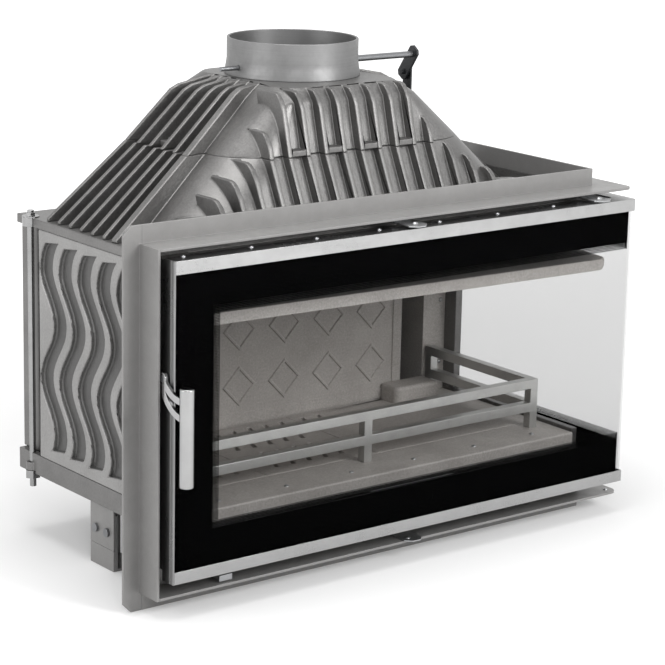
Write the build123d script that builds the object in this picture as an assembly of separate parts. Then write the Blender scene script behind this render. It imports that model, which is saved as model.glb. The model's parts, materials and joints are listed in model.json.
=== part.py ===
"""Cast-iron fireplace insert with a front pane and a right-hand side pane in one corner sash.

Millimetres.  X runs to the right, Y to the back, Z up.  Z = 0 is the floor; X = 0 and Y = 0 lie in
the middle of the insert's overall width and depth.
"""

from build123d import *
from math import atan2, cos, degrees, pi, radians, sin
import os

# ---------------------------------------------------------------- clearances and common stock
touch_gap = 0.3            # air gap between parts that move past each other
pivot_clearance = 0.05     # radial play of a pin in its hole
sheet = 4.0                # steel sheet of the mounting frame and legs
wall = 12.0                # cast-iron wall of the firebox
dome_wall = 8.0            # cast-iron wall of the smoke dome
trim = 2.0                 # stainless strip of the sash rails
glass = 4.0                # ceramic glass
rope = 6.0                 # heat-proof sealing rope, pressed square

# ---------------------------------------------------------------- mounting frame
frame_left = -455.0        # outer edge of the flange
lip_right = 455.0          # outer edge of the collar on the glazed side
flange_y = -147.0          # front face of the flange
flange_lip = 26.0          # how far the flange stands out around the collar
collar_depth = 45.5        # how far the collar stands forward of the flange
frame_height = 550.0
corner_cut = 13.0
side_length = 382.0        # flange to the rear of the glazed side's collar
side_opening = 294.0       # flange to the rear end of the opening beside the firebox
lip_corner = 14.0          # rounded corner of the lips at the glass corner

collar_left = frame_left + flange_lip
collar_top = frame_height - flange_lip
collar_bottom = flange_lip
collar_front = flange_y - collar_depth
lip_under = collar_top - sheet           # underside of the upper lip
lip_over = collar_bottom + sheet         # upper face of the lower lip
flange_back = flange_y + sheet
side_plane = lip_right - collar_depth    # outer face of the glazed side's flange
side_run = flange_y + side_length        # rear face of the glazed side's collar
opening_back = flange_y + side_opening   # rear end of the opening beside the firebox

# ---------------------------------------------------------------- corner sash (the door)
sash_gap_left = 8.5        # air between the collar and the sash
sash_gap_right = 15.0      # the lips reach this far past the sash's glazed side
sash_gap_top = 10.0
sash_gap_bottom = 24.0
sash_gap_back = 12.0
sash_reach = 20.5          # how far the sash stands in front of the collar
sash_depth = 27.0
stile_wall = 2.5
stile_return = 20.0
stile_groove = 1.2         # shadow line along the left stile
top_rail = 19.0
bottom_rail = 18.0
side_sash = 25.0           # width of the rails along the glazed side
hinge_inset_x = 12.0       # hinge axis behind the sash's outer face
hinge_inset_y = 11.0
hinge_block = 22.0
hinge_pin_radius = 4.0
hinge_collar_radius = 9.0
hinge_pin_reach = 12.0
glass_setback = 0.5
glass_groove = 8.0
rail_screws = 7
rail_screw_start = 26.0    # first screw from the sash's left end
rail_screw_pitch = 112.5
rail_screw_inset = 5.0
screw_radius = 4.0
screw_head = 2.6

sash_left = collar_left + sheet + sash_gap_left + stile_wall
sash_right = lip_right - sash_gap_right
sash_front = collar_front - sash_reach
sash_rear = sash_front + sash_depth
sash_bottom = lip_over + sash_gap_bottom
sash_top = lip_under - sash_gap_top
sash_back = side_run - sash_gap_back
side_inner = sash_right - side_sash
hinge_x = sash_right - hinge_inset_x
hinge_y = sash_back - hinge_inset_y
glass_front = sash_front + trim + glass_setback
side_glass_right = sash_right - trim - glass_setback

# handle and latch
grip_radius = 10.0
grip_length = 139.0
grip_reach = 38.0          # grip axis in front of the sash
grip_drop = 140.0          # grip's lower end under the pivot
arm_thickness = 5.0
arm_gap = 2.0              # between the arm and the sash
arm_width = 10.0
arm_steps = 8              # straight bits along one bowed arm
upper_arm = ((0.0, 0.0), (-18.0, -16.0), -22.0)    # start, bulge and end height, from the pivot
lower_arm = ((0.0, -8.0), (-14.0, -32.0), -46.0)
pivot_inset = 19.5         # pivot behind the sash's face
pivot_above_middle = 64.0
pivot_radius = 5.0
hub_radius = 9.0
latch_thickness = 5.0
latch_inset = 4.5          # latch plate behind the stile's side wall
latch_depth = 9.0
keeper_offset = 18.0
keeper_radius = 4.0
latch_play = 1.0

grip_y = sash_front - grip_reach
pivot_y = sash_front + pivot_inset
pivot_z = (sash_bottom + sash_top) / 2 + pivot_above_middle
grip_low_z = pivot_z - grip_drop
arm_right_x = sash_left - stile_wall - arm_gap
arm_left_x = arm_right_x - arm_thickness
grip_x = (arm_left_x + arm_right_x) / 2

# clips on the lips above and below the sash
clip_thickness = 2.0
clip_width = 34.0
clip_gap = 3.0             # air between a top clip and the sash
clip_reach = 8.0           # top clips in front of the sash
clip_screw_inset = 20.0
clip_screw_shift = 3.0
clip_bottom_screw = 16.0   # screw behind the bottom clip's front edge
clip_top_x = (sash_right - 435.0, sash_right - 69.0)
clip_bottom_x = sash_right - 412.0
clip_front = sash_front - clip_reach
clip_back = flange_y - 5.0
clip_riser_y = collar_front + 20.5
clip_bottom_front = collar_front - 11.5
clip_bottom_back = flange_y - 3 * sheet

# ---------------------------------------------------------------- firebox
body_inset = 71.0          # from the flange's edge to the grooved side wall
body_depth = 402.0         # from the flange to the back of the plate castings
base_above_sash = 45.0     # underside of the base over the sash's lower edge
base_rim = 32.0
base_floor = 10.0
top_plate = 13.5
top_plate_under = 29.5     # underside of the top plate under the sash's upper edge
fin_depth = 8.0            # fins on the outside of the back wall
fin_count = 6
fin_pitch = 104.0
fin_half = 7.0
wall_back_inset = 2.0      # back wall stands this far inside the plates' edge
rod_notch = 61.0           # the left wall ends this far ahead of the plates' back edge
flue_shift = 2.25          # the dome's middle lies this far right of the castings' middle

body_left = frame_left + body_inset
body_right = side_plane - sheet
body_back = flange_y + body_depth
base_z = sash_bottom + base_above_sash   # underside of the base casting
base_top = base_z + base_rim
top_plate_z = sash_top - top_plate_under
top_plate_top = top_plate_z + top_plate
wall_back = body_back - wall_back_inset
fin_back = wall_back + fin_depth
left_wall_back = body_back - rod_notch
inner_left = body_left + wall
flue_x = (body_left + body_right) / 2 + flue_shift    # middle plane of the dome

# wavy grooves of the side wall
wave_count = 5
wave_pitch = 52.0
wave_width = 36.0
wave_depth = 8.0
wave_swing = 19.0
wave_slant = 5.0           # a groove's front edge stands this much higher than its back edge
wave_length = 168.0
wave_steps = 14
wave_first_y = left_wall_back - 40.0     # middle of the rearmost groove
wave_low_z = base_top + 17.0
wave_high_z = top_plate_z - 18.5
wave_crest_z = wave_high_z - 37.0

# neck that carries the door seal through the mounting frame
neck_overlap = 7.0         # the neck ends this far under the sash's upper edge
neck_left = sash_left + 12.0
neck_front = sash_rear + rope
neck_back = flange_back
neck_right = body_right + 1.5
neck_top_z = sash_top - neck_overlap
lintel_bottom_z = neck_top_z - 63.0
sill_bottom_z = sash_bottom + 6.0
jamb_width = 52.0
side_neck_width = 20.0
jamb_plate = 6.0           # plate of the right wall that carries the opening's rear facing

# ---------------------------------------------------------------- smoke dome
seam_rise = 110.0          # seam, shoulder and plateau over the top plate
shoulder_rise = 182.0
plateau_rise = 201.0
dome_margin = 42.75        # plate left beside the dome's foot
dome_foot = 6.0
dome_corner = (100.0, 80.0, 28.0, 40.0)    # corner radii at base, seam, shoulder and plateau
side_rib_height = 24.0
side_rib_lean = 1.45       # the ribs stand out this share more at the seam
side_rib_width = 7.0
end_rib_width = 12.0
side_ribs_low = 7
side_ribs_high = 6
rib_foot_step = 5.0
front_rib_height = 15.0
front_rib_width = 8.0
front_rib_pitch = 33.0
short_rib_pitch = 34.7
front_rib_root = 45.0      # how far back a rib is carried before the hollow trims it
front_ribs_high = 8
ledge_height = 9.0
ledge_inset = 3.0          # ledges behind the faces of the front ribs
pad_half_depth = 13.0
right_rib_start = 2        # the glazed side's face starts with the third rib
port_radius = 30.0
port_wall = 5.0
port_recess = 5.0
port_reach = 295.5         # distance of each blanked port from the middle between them
cover_thickness = 4.0
bolt_across = 13.0

seam_z = top_plate_top + seam_rise
shoulder_z = top_plate_top + shoulder_rise
plateau_z = top_plate_top + plateau_rise
foot_half = (body_right - body_left) / 2 - dome_margin
dome_half = (foot_half - 13.5, foot_half - 127.0, foot_half - 218.0, foot_half - 243.0)
dome_shift = (-13.0, 0.0, -6.0, -3.0)    # middle of each level beside the flue's middle
dome_front = (flange_back + 25.0, flange_back + 77.0, flange_back + 96.0, flange_back + 112.0)
dome_back = (body_back - 29.0, body_back - 35.0, body_back - 39.0, body_back - 43.0)
flue_y = (dome_front[3] + dome_back[3]) / 2 + 16.5
rib_foot = foot_half + 39.0              # reach of the side ribs, from the middle plane
rib_shoulder = (dome_half[2] + 24.0, dome_half[2] + 51.0)    # where the front and the rear rib turn over
rib_shoulder_z = (plateau_z - 11.0, plateau_z - 18.0)
side_rib_front_y = (flue_y - 118.0, flue_y - 99.0, flue_y - 78.0)    # at base, seam and plateau
side_rib_back_y = (flue_y + 66.0, flue_y + 61.0, flue_y + 53.0)
front_rib_middle = flue_x - 24.5
front_rib_top = plateau_z - 1.0
high_short_rib_top = seam_z + 38.0
short_rib_tops = (seam_z - 2.0, seam_z - 23.0, seam_z - 45.0)
port_middle = flue_x - 20.0
port_y = dome_front[0] + 28.0
port_z = top_plate_top + 40.0

# ---------------------------------------------------------------- flue collar and damper
spigot_radius = 100.0
spigot_wall = 4.0
spigot_height = 55.0
spigot_foot_radius = 103.5
spigot_straight = 32.0
damper_rise = 14.0         # damper shaft over the dome's plateau
damper_shaft_radius = 5.0
damper_stub_radius = 3.5
damper_shaft_left = 34.0   # stub beyond the collar
damper_shaft_right = 135.0
flap_radius = 92.0
flap_thickness = 3.0
flap_bolt_across = 8.0
lever_width = 22.0
lever_thickness = 4.0
lever_corner = 5.0
lever_down = 48.0
lever_up = 13.0
lever_angle = 55.0         # the lever hangs this far below level, towards the back
quadrant_width = 20.0
quadrant_thickness = 3.0
quadrant_toe = 22.0
quadrant_behind = 16.0     # strip behind the damper shaft

spigot_top = plateau_z + spigot_height
damper_z = plateau_z + damper_rise
quadrant_bolt_z = plateau_z - 11.0
quadrant_foot_z = plateau_z - 63.0
quadrant_y = flue_y + quadrant_behind
shaft_right = flue_x + spigot_radius + damper_shaft_right
shaft_left = flue_x - spigot_radius - damper_shaft_left
quadrant_x = shaft_right + lever_thickness + touch_gap

# ---------------------------------------------------------------- tie rods
tie_radius = 5.0
tie_inset = (3.5, 16.0)    # rod centre inside the castings' left and right face
tie_setback = 34.0         # rod centre ahead of the castings' back edge
lobe_radius = 10.0
lobe_height = 17.0
barrel_radius = 12.5       # sleeve that stands in the top plate
washer_radius = 13.0
washer_thickness = 1.5
nut_across = 13.0
nut_height = 5.0
rod_end = 3.5
foot_nut_across = 21.0
foot_nut_height = 12.0
foot_nut_sunk = 4.0        # the lower nut sits this deep in the base
nut_room = 2.0
foot_rod_end = 14.0

# ---------------------------------------------------------------- legs
leg_width = 63.0
leg_drop_z = 32.0          # seam between bracket and foot
leg_flange = 50.0
leg_tongue = 54.0          # the foot's tongue reaches this far above the seam
leg_front_y = body_back - 218.5
leg_back_y = body_back - 60.0
leg_inset = 10.0
leg_sill_inset = 24.0      # the leg under the glazed side stands inside the sill
leg_back_inset = 229.0     # the back legs stand well inside the castings
bolt_radius = 4.0
bolt_head_radius = 6.5
bolt_head = 4.0
leg_bolt_z = 57.0
leg_bolt_pitch = 30.0

# ---------------------------------------------------------------- hearth and grate
hearth_above_base = 27.0
hearth_plate = 8.0
hearth_overhang = 1.0      # hearth's front edge in front of the flange
hearth_skirt = 19.0
hearth_edge = 3.0          # rounding of the front edge
hearth_length = 86.0
floor_plate = 12.0
floor_setback = 79.0       # floor castings end this far ahead of the plates' back edge
floor_gap = 1.0            # play between neighbouring floor castings
slot_length = 26.0
slot_width = 7.0
slot_pitch_x = 31.0
slot_pitch_y = 50.0
slot_turn = -17.6          # the slots stand askew
hearth_screw_pitch = 121.0
hearth_screws = 6
hearth_screw_inset = 29.0
pan_wall = 2.0
pan_depth = 52.0
pan_gap = 4.0
well_wall = 3.0
guard_bar = 15.0
guard_foot = 5.0           # pegs sunk in the hearth
peg_inset = 1.0            # pegs are this much thinner than the bars, on each side

hearth_z = base_z + hearth_above_base
hearth_front = flange_y - hearth_overhang
hearth_back = hearth_front + hearth_length
hearth_right = body_right - wall - floor_gap
hearth_screw_first = flue_x - 288.0
floor_z = hearth_z - floor_plate
floor_back = body_back - floor_setback
grate_left = flue_x - 159.0
grate_right = flue_x + 49.0
grate_back = floor_back - 58.0
pan_bottom = floor_z - pan_gap - pan_depth
guard_y = hearth_front + 56.0            # front face of the log guard
guard_left = body_left + 59.0
guard_right = body_right - 40.5
guard_back = floor_back - 5.0
guard_top_z = hearth_z + 80.0
guard_low_z = hearth_z + 42.0

# ---------------------------------------------------------------- linings and baffles
liner = 12.0
liner_frame = 18.0
relief = 2.5
lozenge_columns = 7
lozenge_rows = 3
lozenge_share = 0.36       # half width of a lozenge as a share of its field
baffle_thickness = 18.0
baffle_tilt = 2.0
baffle_edge = 5.0
deflector_thickness = 14.0
lug = 14.0
kerb_height = 28.0
kerb_corner = 12.0
kerb_edge = 6.0

liner_front = floor_back                 # front face of the cast back lining
liner_right = body_right - 106.5
liner_top = lintel_bottom_z - 4.0
lining_back = left_wall_back - wall
post_left = body_right - 59.5
post_front = floor_back - 2.0
post_screw_x = body_right - wall - 11.5
post_screw_low_z = hearth_z + 48.0
post_screw_high_z = hearth_z + 154.5
kerb_left = liner_right - 41.0           # rounded kerb that fills the foot of the back right corner
kerb_front = floor_back - 45.0
baffle_z = liner_top - 43.0
baffle_left_y = flange_back + 2.0
baffle_right_y = neck_front + 9.0
baffle_right_x = sash_right - 12.0
baffle_back = floor_back - 106.0
deflector_front = flange_back + 103.0

# ---------------------------------------------------------------- air supply
inlet_radius = 50.0
inlet_length = 21.0
inlet_wall = 3.0
shutter_length = 200.0
shutter_width = 60.0
shutter_thickness = 3.0
shutter_travel = 25.0
shutter_slot = 18.0
guide_toe = 6.0
air_slots = 3
air_slot = 30.0
air_slot_pitch = 50.0
air_lever_width = 22.0
air_lever_thickness = 3.0
air_lever_lip = 9.0

inlet_x = body_left + 156.0
inlet_y = body_back - 95.0
shutter_y = flange_back + 47.0
air_lever_x = body_left + 64.0
air_lever_z = lip_over + 2.0
air_lever_front = collar_front + 5.5


# ---------------------------------------------------------------- small makers
def block(x0, x1, y0, y1, z0, z1):
    """Box between two opposite corners."""
    centre = Location(((x0 + x1) / 2, (y0 + y1) / 2, (z0 + z1) / 2))
    return centre * Box(x1 - x0, y1 - y0, z1 - z0)


def rod_z(x, y, z0, z1, radius):
    """Upright round bar."""
    return Pos(x, y, (z0 + z1) / 2) * Cylinder(radius, z1 - z0)


def rod_x(y, z, x0, x1, radius):
    """Round bar along X."""
    return Pos((x0 + x1) / 2, y, z) * Rot(0, 90, 0) * Cylinder(radius, x1 - x0)


def rod_y(x, z, y0, y1, radius):
    """Round bar along Y."""
    return Pos(x, (y0 + y1) / 2, z) * Rot(90, 0, 0) * Cylinder(radius, y1 - y0)


def hexagon_z(x, y, z0, z1, across):
    """Upright hexagonal nut or bolt head."""
    outline = RegularPolygon(across / 2, 6, major_radius=False)
    return Pos(x, y, z0) * extrude(outline, z1 - z0)


def slab_xy(points, z0, z1):
    """Plate with an outline in plan."""
    return Pos(0, 0, z0) * extrude(make_face(Polyline(points, close=True)), z1 - z0)


def slab_xz(points, y0, y1):
    """Plate with an outline seen from the front."""
    plane = Plane(origin=(0, y0, 0), x_dir=(1, 0, 0), z_dir=(0, -1, 0))
    return extrude(plane * make_face(Polyline(points, close=True)), y0 - y1)


def slab_yz(points, x0, x1):
    """Plate with an outline seen from the side."""
    plane = Plane(origin=(x0, 0, 0), x_dir=(0, 1, 0), z_dir=(1, 0, 0))
    return extrude(plane * make_face(Polyline(points, close=True)), x1 - x0)


def group(solids):
    """Separate solids in one node."""
    return Compound(children=list(solids))


def mirrored_x(shape):
    """The same shape on the other side of the castings' middle plane."""
    return mirror(shape, about=Plane(origin=(flue_x, 0, 0), z_dir=(1, 0, 0)))


def dome_head_up(x, y, z, radius, height):
    """Low domed screw head that stands on a level face."""
    ball = (radius * radius + height * height) / (2 * height)
    cap = Pos(x, y, z + height - ball) * Sphere(ball)
    return cap & block(x - radius, x + radius, y - radius, y + radius, z, z + height)


# ---------------------------------------------------------------- mounting frame
def frame_left_angle():
    flange = slab_xz(
        [
            (frame_left, corner_cut),
            (frame_left + corner_cut, 0),
            (collar_left + sheet, 0),
            (collar_left + sheet, frame_height),
            (frame_left + corner_cut, frame_height),
            (frame_left, frame_height - corner_cut),
        ],
        flange_y,
        flange_back,
    )
    collar = block(collar_left, collar_left + sheet, collar_front, flange_y, collar_bottom, collar_top)
    return flange + collar


def front_angle(z_lip, z_edge):
    """Top or bottom angle: a lip round the sash and the flange behind it."""
    low, high = min(z_lip, z_edge), max(z_lip, z_edge)
    inner = z_lip - sheet if z_edge > z_lip else z_lip + sheet
    x0 = collar_left + sheet
    lip = block(x0, lip_right, collar_front, flange_y, min(z_lip, inner), max(z_lip, inner))
    tip = lip.edges().filter_by(Axis.Z).sort_by(Axis.X)[-2:].sort_by(Axis.Y)[0]
    lip = fillet(tip, lip_corner)
    flange = block(x0, body_right, flange_y, flange_back, min(low, inner), max(high, inner))
    return lip + flange


def side_angle(z_lip, z_edge):
    """The same angle carried on along the glazed side."""
    inner = z_lip - sheet if z_edge > z_lip else z_lip + sheet
    lip = block(
        side_plane, lip_right, flange_y, side_run, min(z_lip, inner), max(z_lip, inner)
    )
    flange = block(body_right, side_plane, flange_y, side_run, min(inner, z_edge), max(inner, z_edge))
    return lip + flange


def frame_rear_angle():
    """Upright angle that closes the glazed side at the back."""
    web = block(body_right, lip_right, side_run - sheet, side_run, lip_over, lip_under)
    return web + block(body_right, side_plane, side_run, side_run + flange_lip, 0, frame_height)


# ---------------------------------------------------------------- firebox castings
def lobe(x, y, z0, z1):
    """Ear of a plate casting that takes a tie rod."""
    ear = rod_z(x, y, z0, z1, lobe_radius)
    toward = body_left + wall if x < flue_x else body_right - wall
    tongue = block(min(x, toward), max(x, toward), y - lobe_radius, y + lobe_radius, z0, z1)
    return ear + tongue


def tie_places():
    """Centres of the tie rods at the two back corners."""
    y = body_back - tie_setback
    return [(body_left + tie_inset[0], y), (body_right - tie_inset[1], y)]


def tie_holes(z0, z1):
    hole = tie_radius + pivot_clearance
    return [rod_z(x, y, z0, z1, hole) for x, y in tie_places()]


def base_casting():
    tray = block(body_left, body_right, flange_back, body_back, base_z, base_top)
    tray -= block(
        body_left + wall, body_right - wall, flange_back + wall, body_back - wall, base_z + base_floor, base_top
    )
    tray -= block(
        body_left + wall, body_right - wall, flange_back, flange_back + wall, hearth_z - hearth_skirt, base_top
    )
    for x in (grate_left - wall, grate_right):
        tray += block(x, x + wall, hearth_back, floor_back, base_z + base_floor, floor_z)
    tray += block(
        grate_left - wall, grate_right + wall, grate_back - wall, grate_back + wall, base_z + base_floor, floor_z
    )
    tray += block(
        inner_left + liner, liner_right, floor_back - wall, floor_back + wall, base_z + base_floor, floor_z
    )
    tray += block(
        inner_left + liner, body_right - wall, hearth_back, hearth_back + wall, base_z + base_floor, floor_z
    )
    for x, y in tie_places():
        tray += lobe(x, y, base_z, base_z + lobe_height)
        tray -= rod_z(x, y, base_z, base_z + foot_nut_sunk, foot_nut_across / 2 + nut_room)
    tray -= block(grate_left, grate_right, hearth_back + wall, grate_back - wall, base_z, base_top)
    tray -= rod_z(inlet_x, inlet_y, base_z, base_z + base_floor, inlet_radius - inlet_wall)
    for x in air_slot_places():
        tray -= block(
            x - air_slot / 2, x + air_slot / 2, shutter_y - air_slot / 2, shutter_y + air_slot / 2, base_z, base_top
        )
    for hole in tie_holes(base_z, base_top):
        tray -= hole
    return tray


def air_slot_places():
    """The air slots lie over the shutter's solid strips when it is shut."""
    middle = air_lever_x + shutter_length / 2 + shutter_slot / 2
    return [middle + (i - (air_slots - 1) / 2) * air_slot_pitch for i in range(air_slots)]


def wave_y(z):
    """Sideways swing of a side-wall groove at height z."""
    return wave_swing * cos(2 * pi * (z - wave_crest_z) / wave_length)


def side_wall():
    panel = block(body_left, inner_left, flange_back, left_wall_back, base_top, top_plate_z)
    rise = (wave_high_z - wave_low_z) / wave_steps
    heights = [wave_low_z + rise * i for i in range(wave_steps + 1)]
    for k in range(wave_count):
        middle = wave_first_y - k * wave_pitch
        back = [(middle + wave_width / 2 + wave_y(z), z) for z in heights]
        front = [(middle - wave_width / 2 + wave_y(z), z + wave_slant) for z in reversed(heights)]
        plane = Plane(origin=(body_left, 0, 0), x_dir=(0, 1, 0), z_dir=(1, 0, 0))
        ends = [Line(back[-1], front[0]), Line(front[-1], back[0])]
        outline = Wire([Spline(*back), ends[0], Spline(*front), ends[1]])
        panel -= extrude(plane * make_face(outline), wave_depth)
    return panel


def back_wall():
    inset = 2 * wall
    panel = block(
        body_left + inset, body_right - inset - wall, wall_back - wall, wall_back, base_top, top_plate_z
    )
    corner = block(
        body_left + wall, body_left + inset, left_wall_back - wall, fin_back, base_top, top_plate_z
    )
    for i in range(fin_count):
        x = flue_x + (i - (fin_count - 1) / 2) * fin_pitch
        panel += block(x - fin_half, x + fin_half, wall_back - wall, fin_back, base_top, top_plate_z)
    return panel + corner


def right_wall():
    panel = block(body_right - wall, body_right, opening_back, left_wall_back, base_top, top_plate_z)
    back = post_front + liner
    step = block(body_right - 2 * wall, body_right - wall, back, left_wall_back, base_top, top_plate_z)
    corner = block(body_right - 3 * wall, body_right - 2 * wall, back, wall_back, base_top, top_plate_z)
    return panel + step + corner + side_jamb()


def left_jamb():
    """Left upright of the neck with the plate that closes the gap to the collar."""
    post = block(neck_left, neck_left + jamb_width, neck_front, neck_back, sill_bottom_z, neck_top_z)
    low, high = lip_over, lip_under
    return post + block(collar_left + sheet, neck_left, flange_y, flange_back, low, high)


def front_bar(z0, z1, z_frame):
    """Lintel or sill of the neck, across the front, with its plate up or down to the frame."""
    bar = block(neck_left + jamb_width, neck_right, neck_front, neck_back, z0, z1)
    edge = z1 if z_frame > z1 else z0
    plate = block(
        neck_left, side_plane, flange_y, flange_back, min(edge, z_frame), max(edge, z_frame)
    )
    return bar + plate


def front_sill():
    """Sill with the slot that the air lever slides in."""
    x1 = air_lever_x + air_lever_width + shutter_travel + floor_gap
    high = air_lever_z + air_lever_thickness + floor_gap
    slot = block(air_lever_x - floor_gap, x1, flange_y, flange_back, lip_over, high)
    return front_bar(sill_bottom_z, base_z, lip_over) - slot


def side_bar(z0, z1, z_frame):
    """Lintel or sill of the neck, along the glazed side, with its plate to the frame."""
    bar = block(neck_right - side_neck_width, neck_right, neck_back, opening_back, z0, z1)
    edge = z1 if z_frame > z1 else z0
    plate = block(body_right, side_plane, neck_back, side_run - sheet, min(edge, z_frame), max(edge, z_frame))
    return bar + plate


def neck_lintel():
    front = front_bar(lintel_bottom_z, neck_top_z, lip_under)
    return front + side_bar(lintel_bottom_z, top_plate_top, lip_under)


def neck_sill():
    return front_sill() + side_bar(sill_bottom_z, base_z, lip_over)


def side_jamb():
    """Facing behind the opening on the glazed side, with the plate that carries it on to the back."""
    back = side_run - sheet
    facing = block(body_right, neck_right, opening_back, back, sill_bottom_z, top_plate_top)
    return facing + block(neck_right - jamb_plate, body_right, left_wall_back, back, base_top, top_plate_z)


def top_casting():
    plate = block(body_left, body_right, flange_back, body_back, top_plate_z, top_plate_top)
    plate -= extrude(dome_section(0, top_plate_z, dome_wall + wall), top_plate)
    for x, y in tie_places():
        plate -= rod_z(x, y, top_plate_z, top_plate_top, barrel_radius + pivot_clearance)
    plate -= block(
        neck_right - side_neck_width, side_plane, neck_back, opening_back, top_plate_z, top_plate_top
    )
    return plate


# ---------------------------------------------------------------- smoke dome
def dome_section(level, z, inset):
    """Rounded outline of the dome at one of its four levels."""
    depth = dome_back[level] - dome_front[level]
    middle_y = (dome_back[level] + dome_front[level]) / 2
    outline = RectangleRounded(
        2 * (dome_half[level] - inset), depth - 2 * inset, dome_corner[level] - inset
    )
    return Pos(flue_x + dome_shift[level], middle_y, z) * outline


def dome_core(low, high, z0, z1, inset):
    return loft([dome_section(low, z0, inset), dome_section(high, z1, inset)], ruled=True)


def between(ends, share):
    """Value at a share of the way from the first end to the second."""
    return ends[0] * (1 - share) + ends[1] * share


def side_rib_line():
    """Outer ends of the side ribs at the base and at the seam."""
    return flue_x - rib_foot, flue_x - dome_half[1] - side_rib_height * side_rib_lean


def side_rib(low, width, front_y, turn, share):
    """One sloping rib of the left face; low says which casting it is on, share how far back it stands."""
    foot, seam_x = side_rib_line()
    core_base = flue_x + dome_shift[0] - dome_half[0] + 6 * dome_wall
    core_seam = flue_x - dome_half[1] + dome_wall
    top_x = flue_x - between(rib_shoulder, share)
    top_z = between(rib_shoulder_z, share)
    inner_x = flue_x + dome_shift[3] - dome_half[3]
    if low:
        points = [
            (foot, top_plate_top),
            (foot, top_plate_top + rib_foot_step),
            (seam_x, seam_z),
            (core_seam, seam_z),
            (core_base, top_plate_top),
        ]
        pivot_x = foot
    else:
        points = [
            (seam_x, seam_z),
            (top_x, top_z),
            (top_x + 14, top_z + 7),
            (inner_x - 9, plateau_z - 1),
            (inner_x + 9, plateau_z),
            (inner_x + 9, plateau_z - dome_wall),
            (core_seam + dome_wall, seam_z),
        ]
        pivot_x = seam_x
    rib = slab_xz(points, front_y, front_y + width)
    return rib.rotate(Axis((pivot_x, front_y, 0), (0, 0, 1)), turn)


def rib_row(low, count):
    """The ribs of one casting's left face, closing up as they climb."""
    level = 0 if low else 1
    foot, seam_x = side_rib_line()
    ribs = []
    for i in range(count):
        share = i / (count - 1)
        start = between((side_rib_front_y[level], side_rib_back_y[level]), share)
        end = between((side_rib_front_y[level + 1], side_rib_back_y[level + 1]), share)
        width = end_rib_width if i == 0 else side_rib_width
        run = seam_x - foot if low else flue_x - between(rib_shoulder, share) - seam_x
        ribs.append(side_rib(low, width, start, degrees(atan2(end - start, run)), share))
    return ribs


def front_rib(x, z_top, low):
    """One upright rib of the front face, rounded over at its upper end."""
    level = 0 if low else 1
    z_foot = top_plate_top if low else seam_z
    z_next = seam_z if low else shoulder_z
    foot_y = dome_front[level] - front_rib_height
    lean = (dome_front[level + 1] - dome_front[level]) / (z_next - z_foot)
    end_y = foot_y + lean * (z_top - z_foot)
    if low and z_top >= seam_z:
        cap = [(end_y, z_top)]
    else:
        cap = [
            (end_y - lean * 24, z_top - 24),
            (end_y - lean * 9 + 4, z_top - 9),
            (end_y + front_rib_height * 0.6, z_top - 2),
            (end_y + front_rib_height + 2, z_top),
        ]
    root = [
        (end_y + front_rib_height + front_rib_root, z_top),
        (foot_y + front_rib_height + front_rib_root, z_foot),
    ]
    half = front_rib_width / 2
    return slab_yz([(foot_y, z_foot)] + cap + root, x - half, x + half)


def rib_places(count):
    return [front_rib_middle + (i - (count - 1) / 2) * front_rib_pitch for i in range(count)]


def rib_faces(ribs):
    """The left face's ribs and those that the right face has too."""
    return ribs + [mirrored_x(rib) for rib in ribs[right_rib_start:]]


def port_places():
    return [(port_middle - port_reach, port_y), (port_middle + port_reach, port_y)]


def dome_lower():
    shell = dome_core(0, 1, top_plate_top, seam_z, 0)
    foot = extrude(dome_section(0, top_plate_top, -wall), dome_foot)
    shell += foot & block(
        body_left, neck_right - side_neck_width, neck_back, body_back, top_plate_top, top_plate_top + dome_foot
    )
    shell += rib_faces(rib_row(True, side_ribs_low))
    for x in rib_places(front_ribs_high + 2):
        shell += front_rib(x, seam_z, True)
    outer = (front_ribs_high + 1) / 2 * front_rib_pitch
    for i, z_top in enumerate(short_rib_tops, start=1):
        for side in (-1, 1):
            shell += front_rib(front_rib_middle + side * (outer + i * short_rib_pitch), z_top, True)
    for x, y in port_places():
        boss = rod_z(x, y, top_plate_top, port_z, port_radius)
        shell += boss - rod_z(x, y, port_z - port_recess, port_z, port_radius - port_wall)
    shell -= dome_core(0, 1, top_plate_top, seam_z, dome_wall)
    return shell & block(body_left, body_right, neck_back, body_back, top_plate_top, seam_z)


def upper_hollow():
    steep = dome_core(1, 2, seam_z, shoulder_z, dome_wall)
    return steep + dome_core(2, 3, shoulder_z, plateau_z - dome_wall, dome_wall)


def dome_upper():
    shell = dome_core(1, 2, seam_z, shoulder_z, 0) + dome_core(2, 3, shoulder_z, plateau_z, 0)
    shell += rib_faces(rib_row(False, side_ribs_high))
    places = rib_places(front_ribs_high)
    for x in places:
        shell += front_rib(x, front_rib_top, False)
    for x in (places[0] - front_rib_pitch, places[-1] + front_rib_pitch):
        shell += front_rib(x, high_short_rib_top, False)
    for i in range(1, front_ribs_high, 2):
        shell += block(
            places[i - 1], places[i], dome_front[1] - front_rib_height + ledge_inset, dome_front[1] + dome_wall,
            seam_z, seam_z + ledge_height,
        )
    for pad in bolt_pads():
        shell += pad
    shell += quadrant_pad()
    shell -= upper_hollow()
    shell -= rod_z(flue_x, flue_y, seam_z, plateau_z, spigot_radius - spigot_wall)
    return shell


def port_covers():
    discs = []
    core = dome_core(0, 1, top_plate_top, seam_z, 0)
    for x, y in port_places():
        low = port_z - port_recess
        disc = rod_z(x, y, low, low + cover_thickness, port_radius - port_wall - touch_gap)
        discs.append(disc - core)
    return group(discs)


def seam_bolt_place():
    """Centre of the left seam bolt, midway between two side ribs."""
    seam_x = side_rib_line()[1]
    pitch = (side_rib_back_y[1] - side_rib_front_y[1]) / (side_ribs_high - 1)
    y = side_rib_front_y[1] + pitch * (side_ribs_high / 2 - 0.5) + side_rib_width / 2
    return seam_x + side_rib_height * 1.3, y


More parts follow.
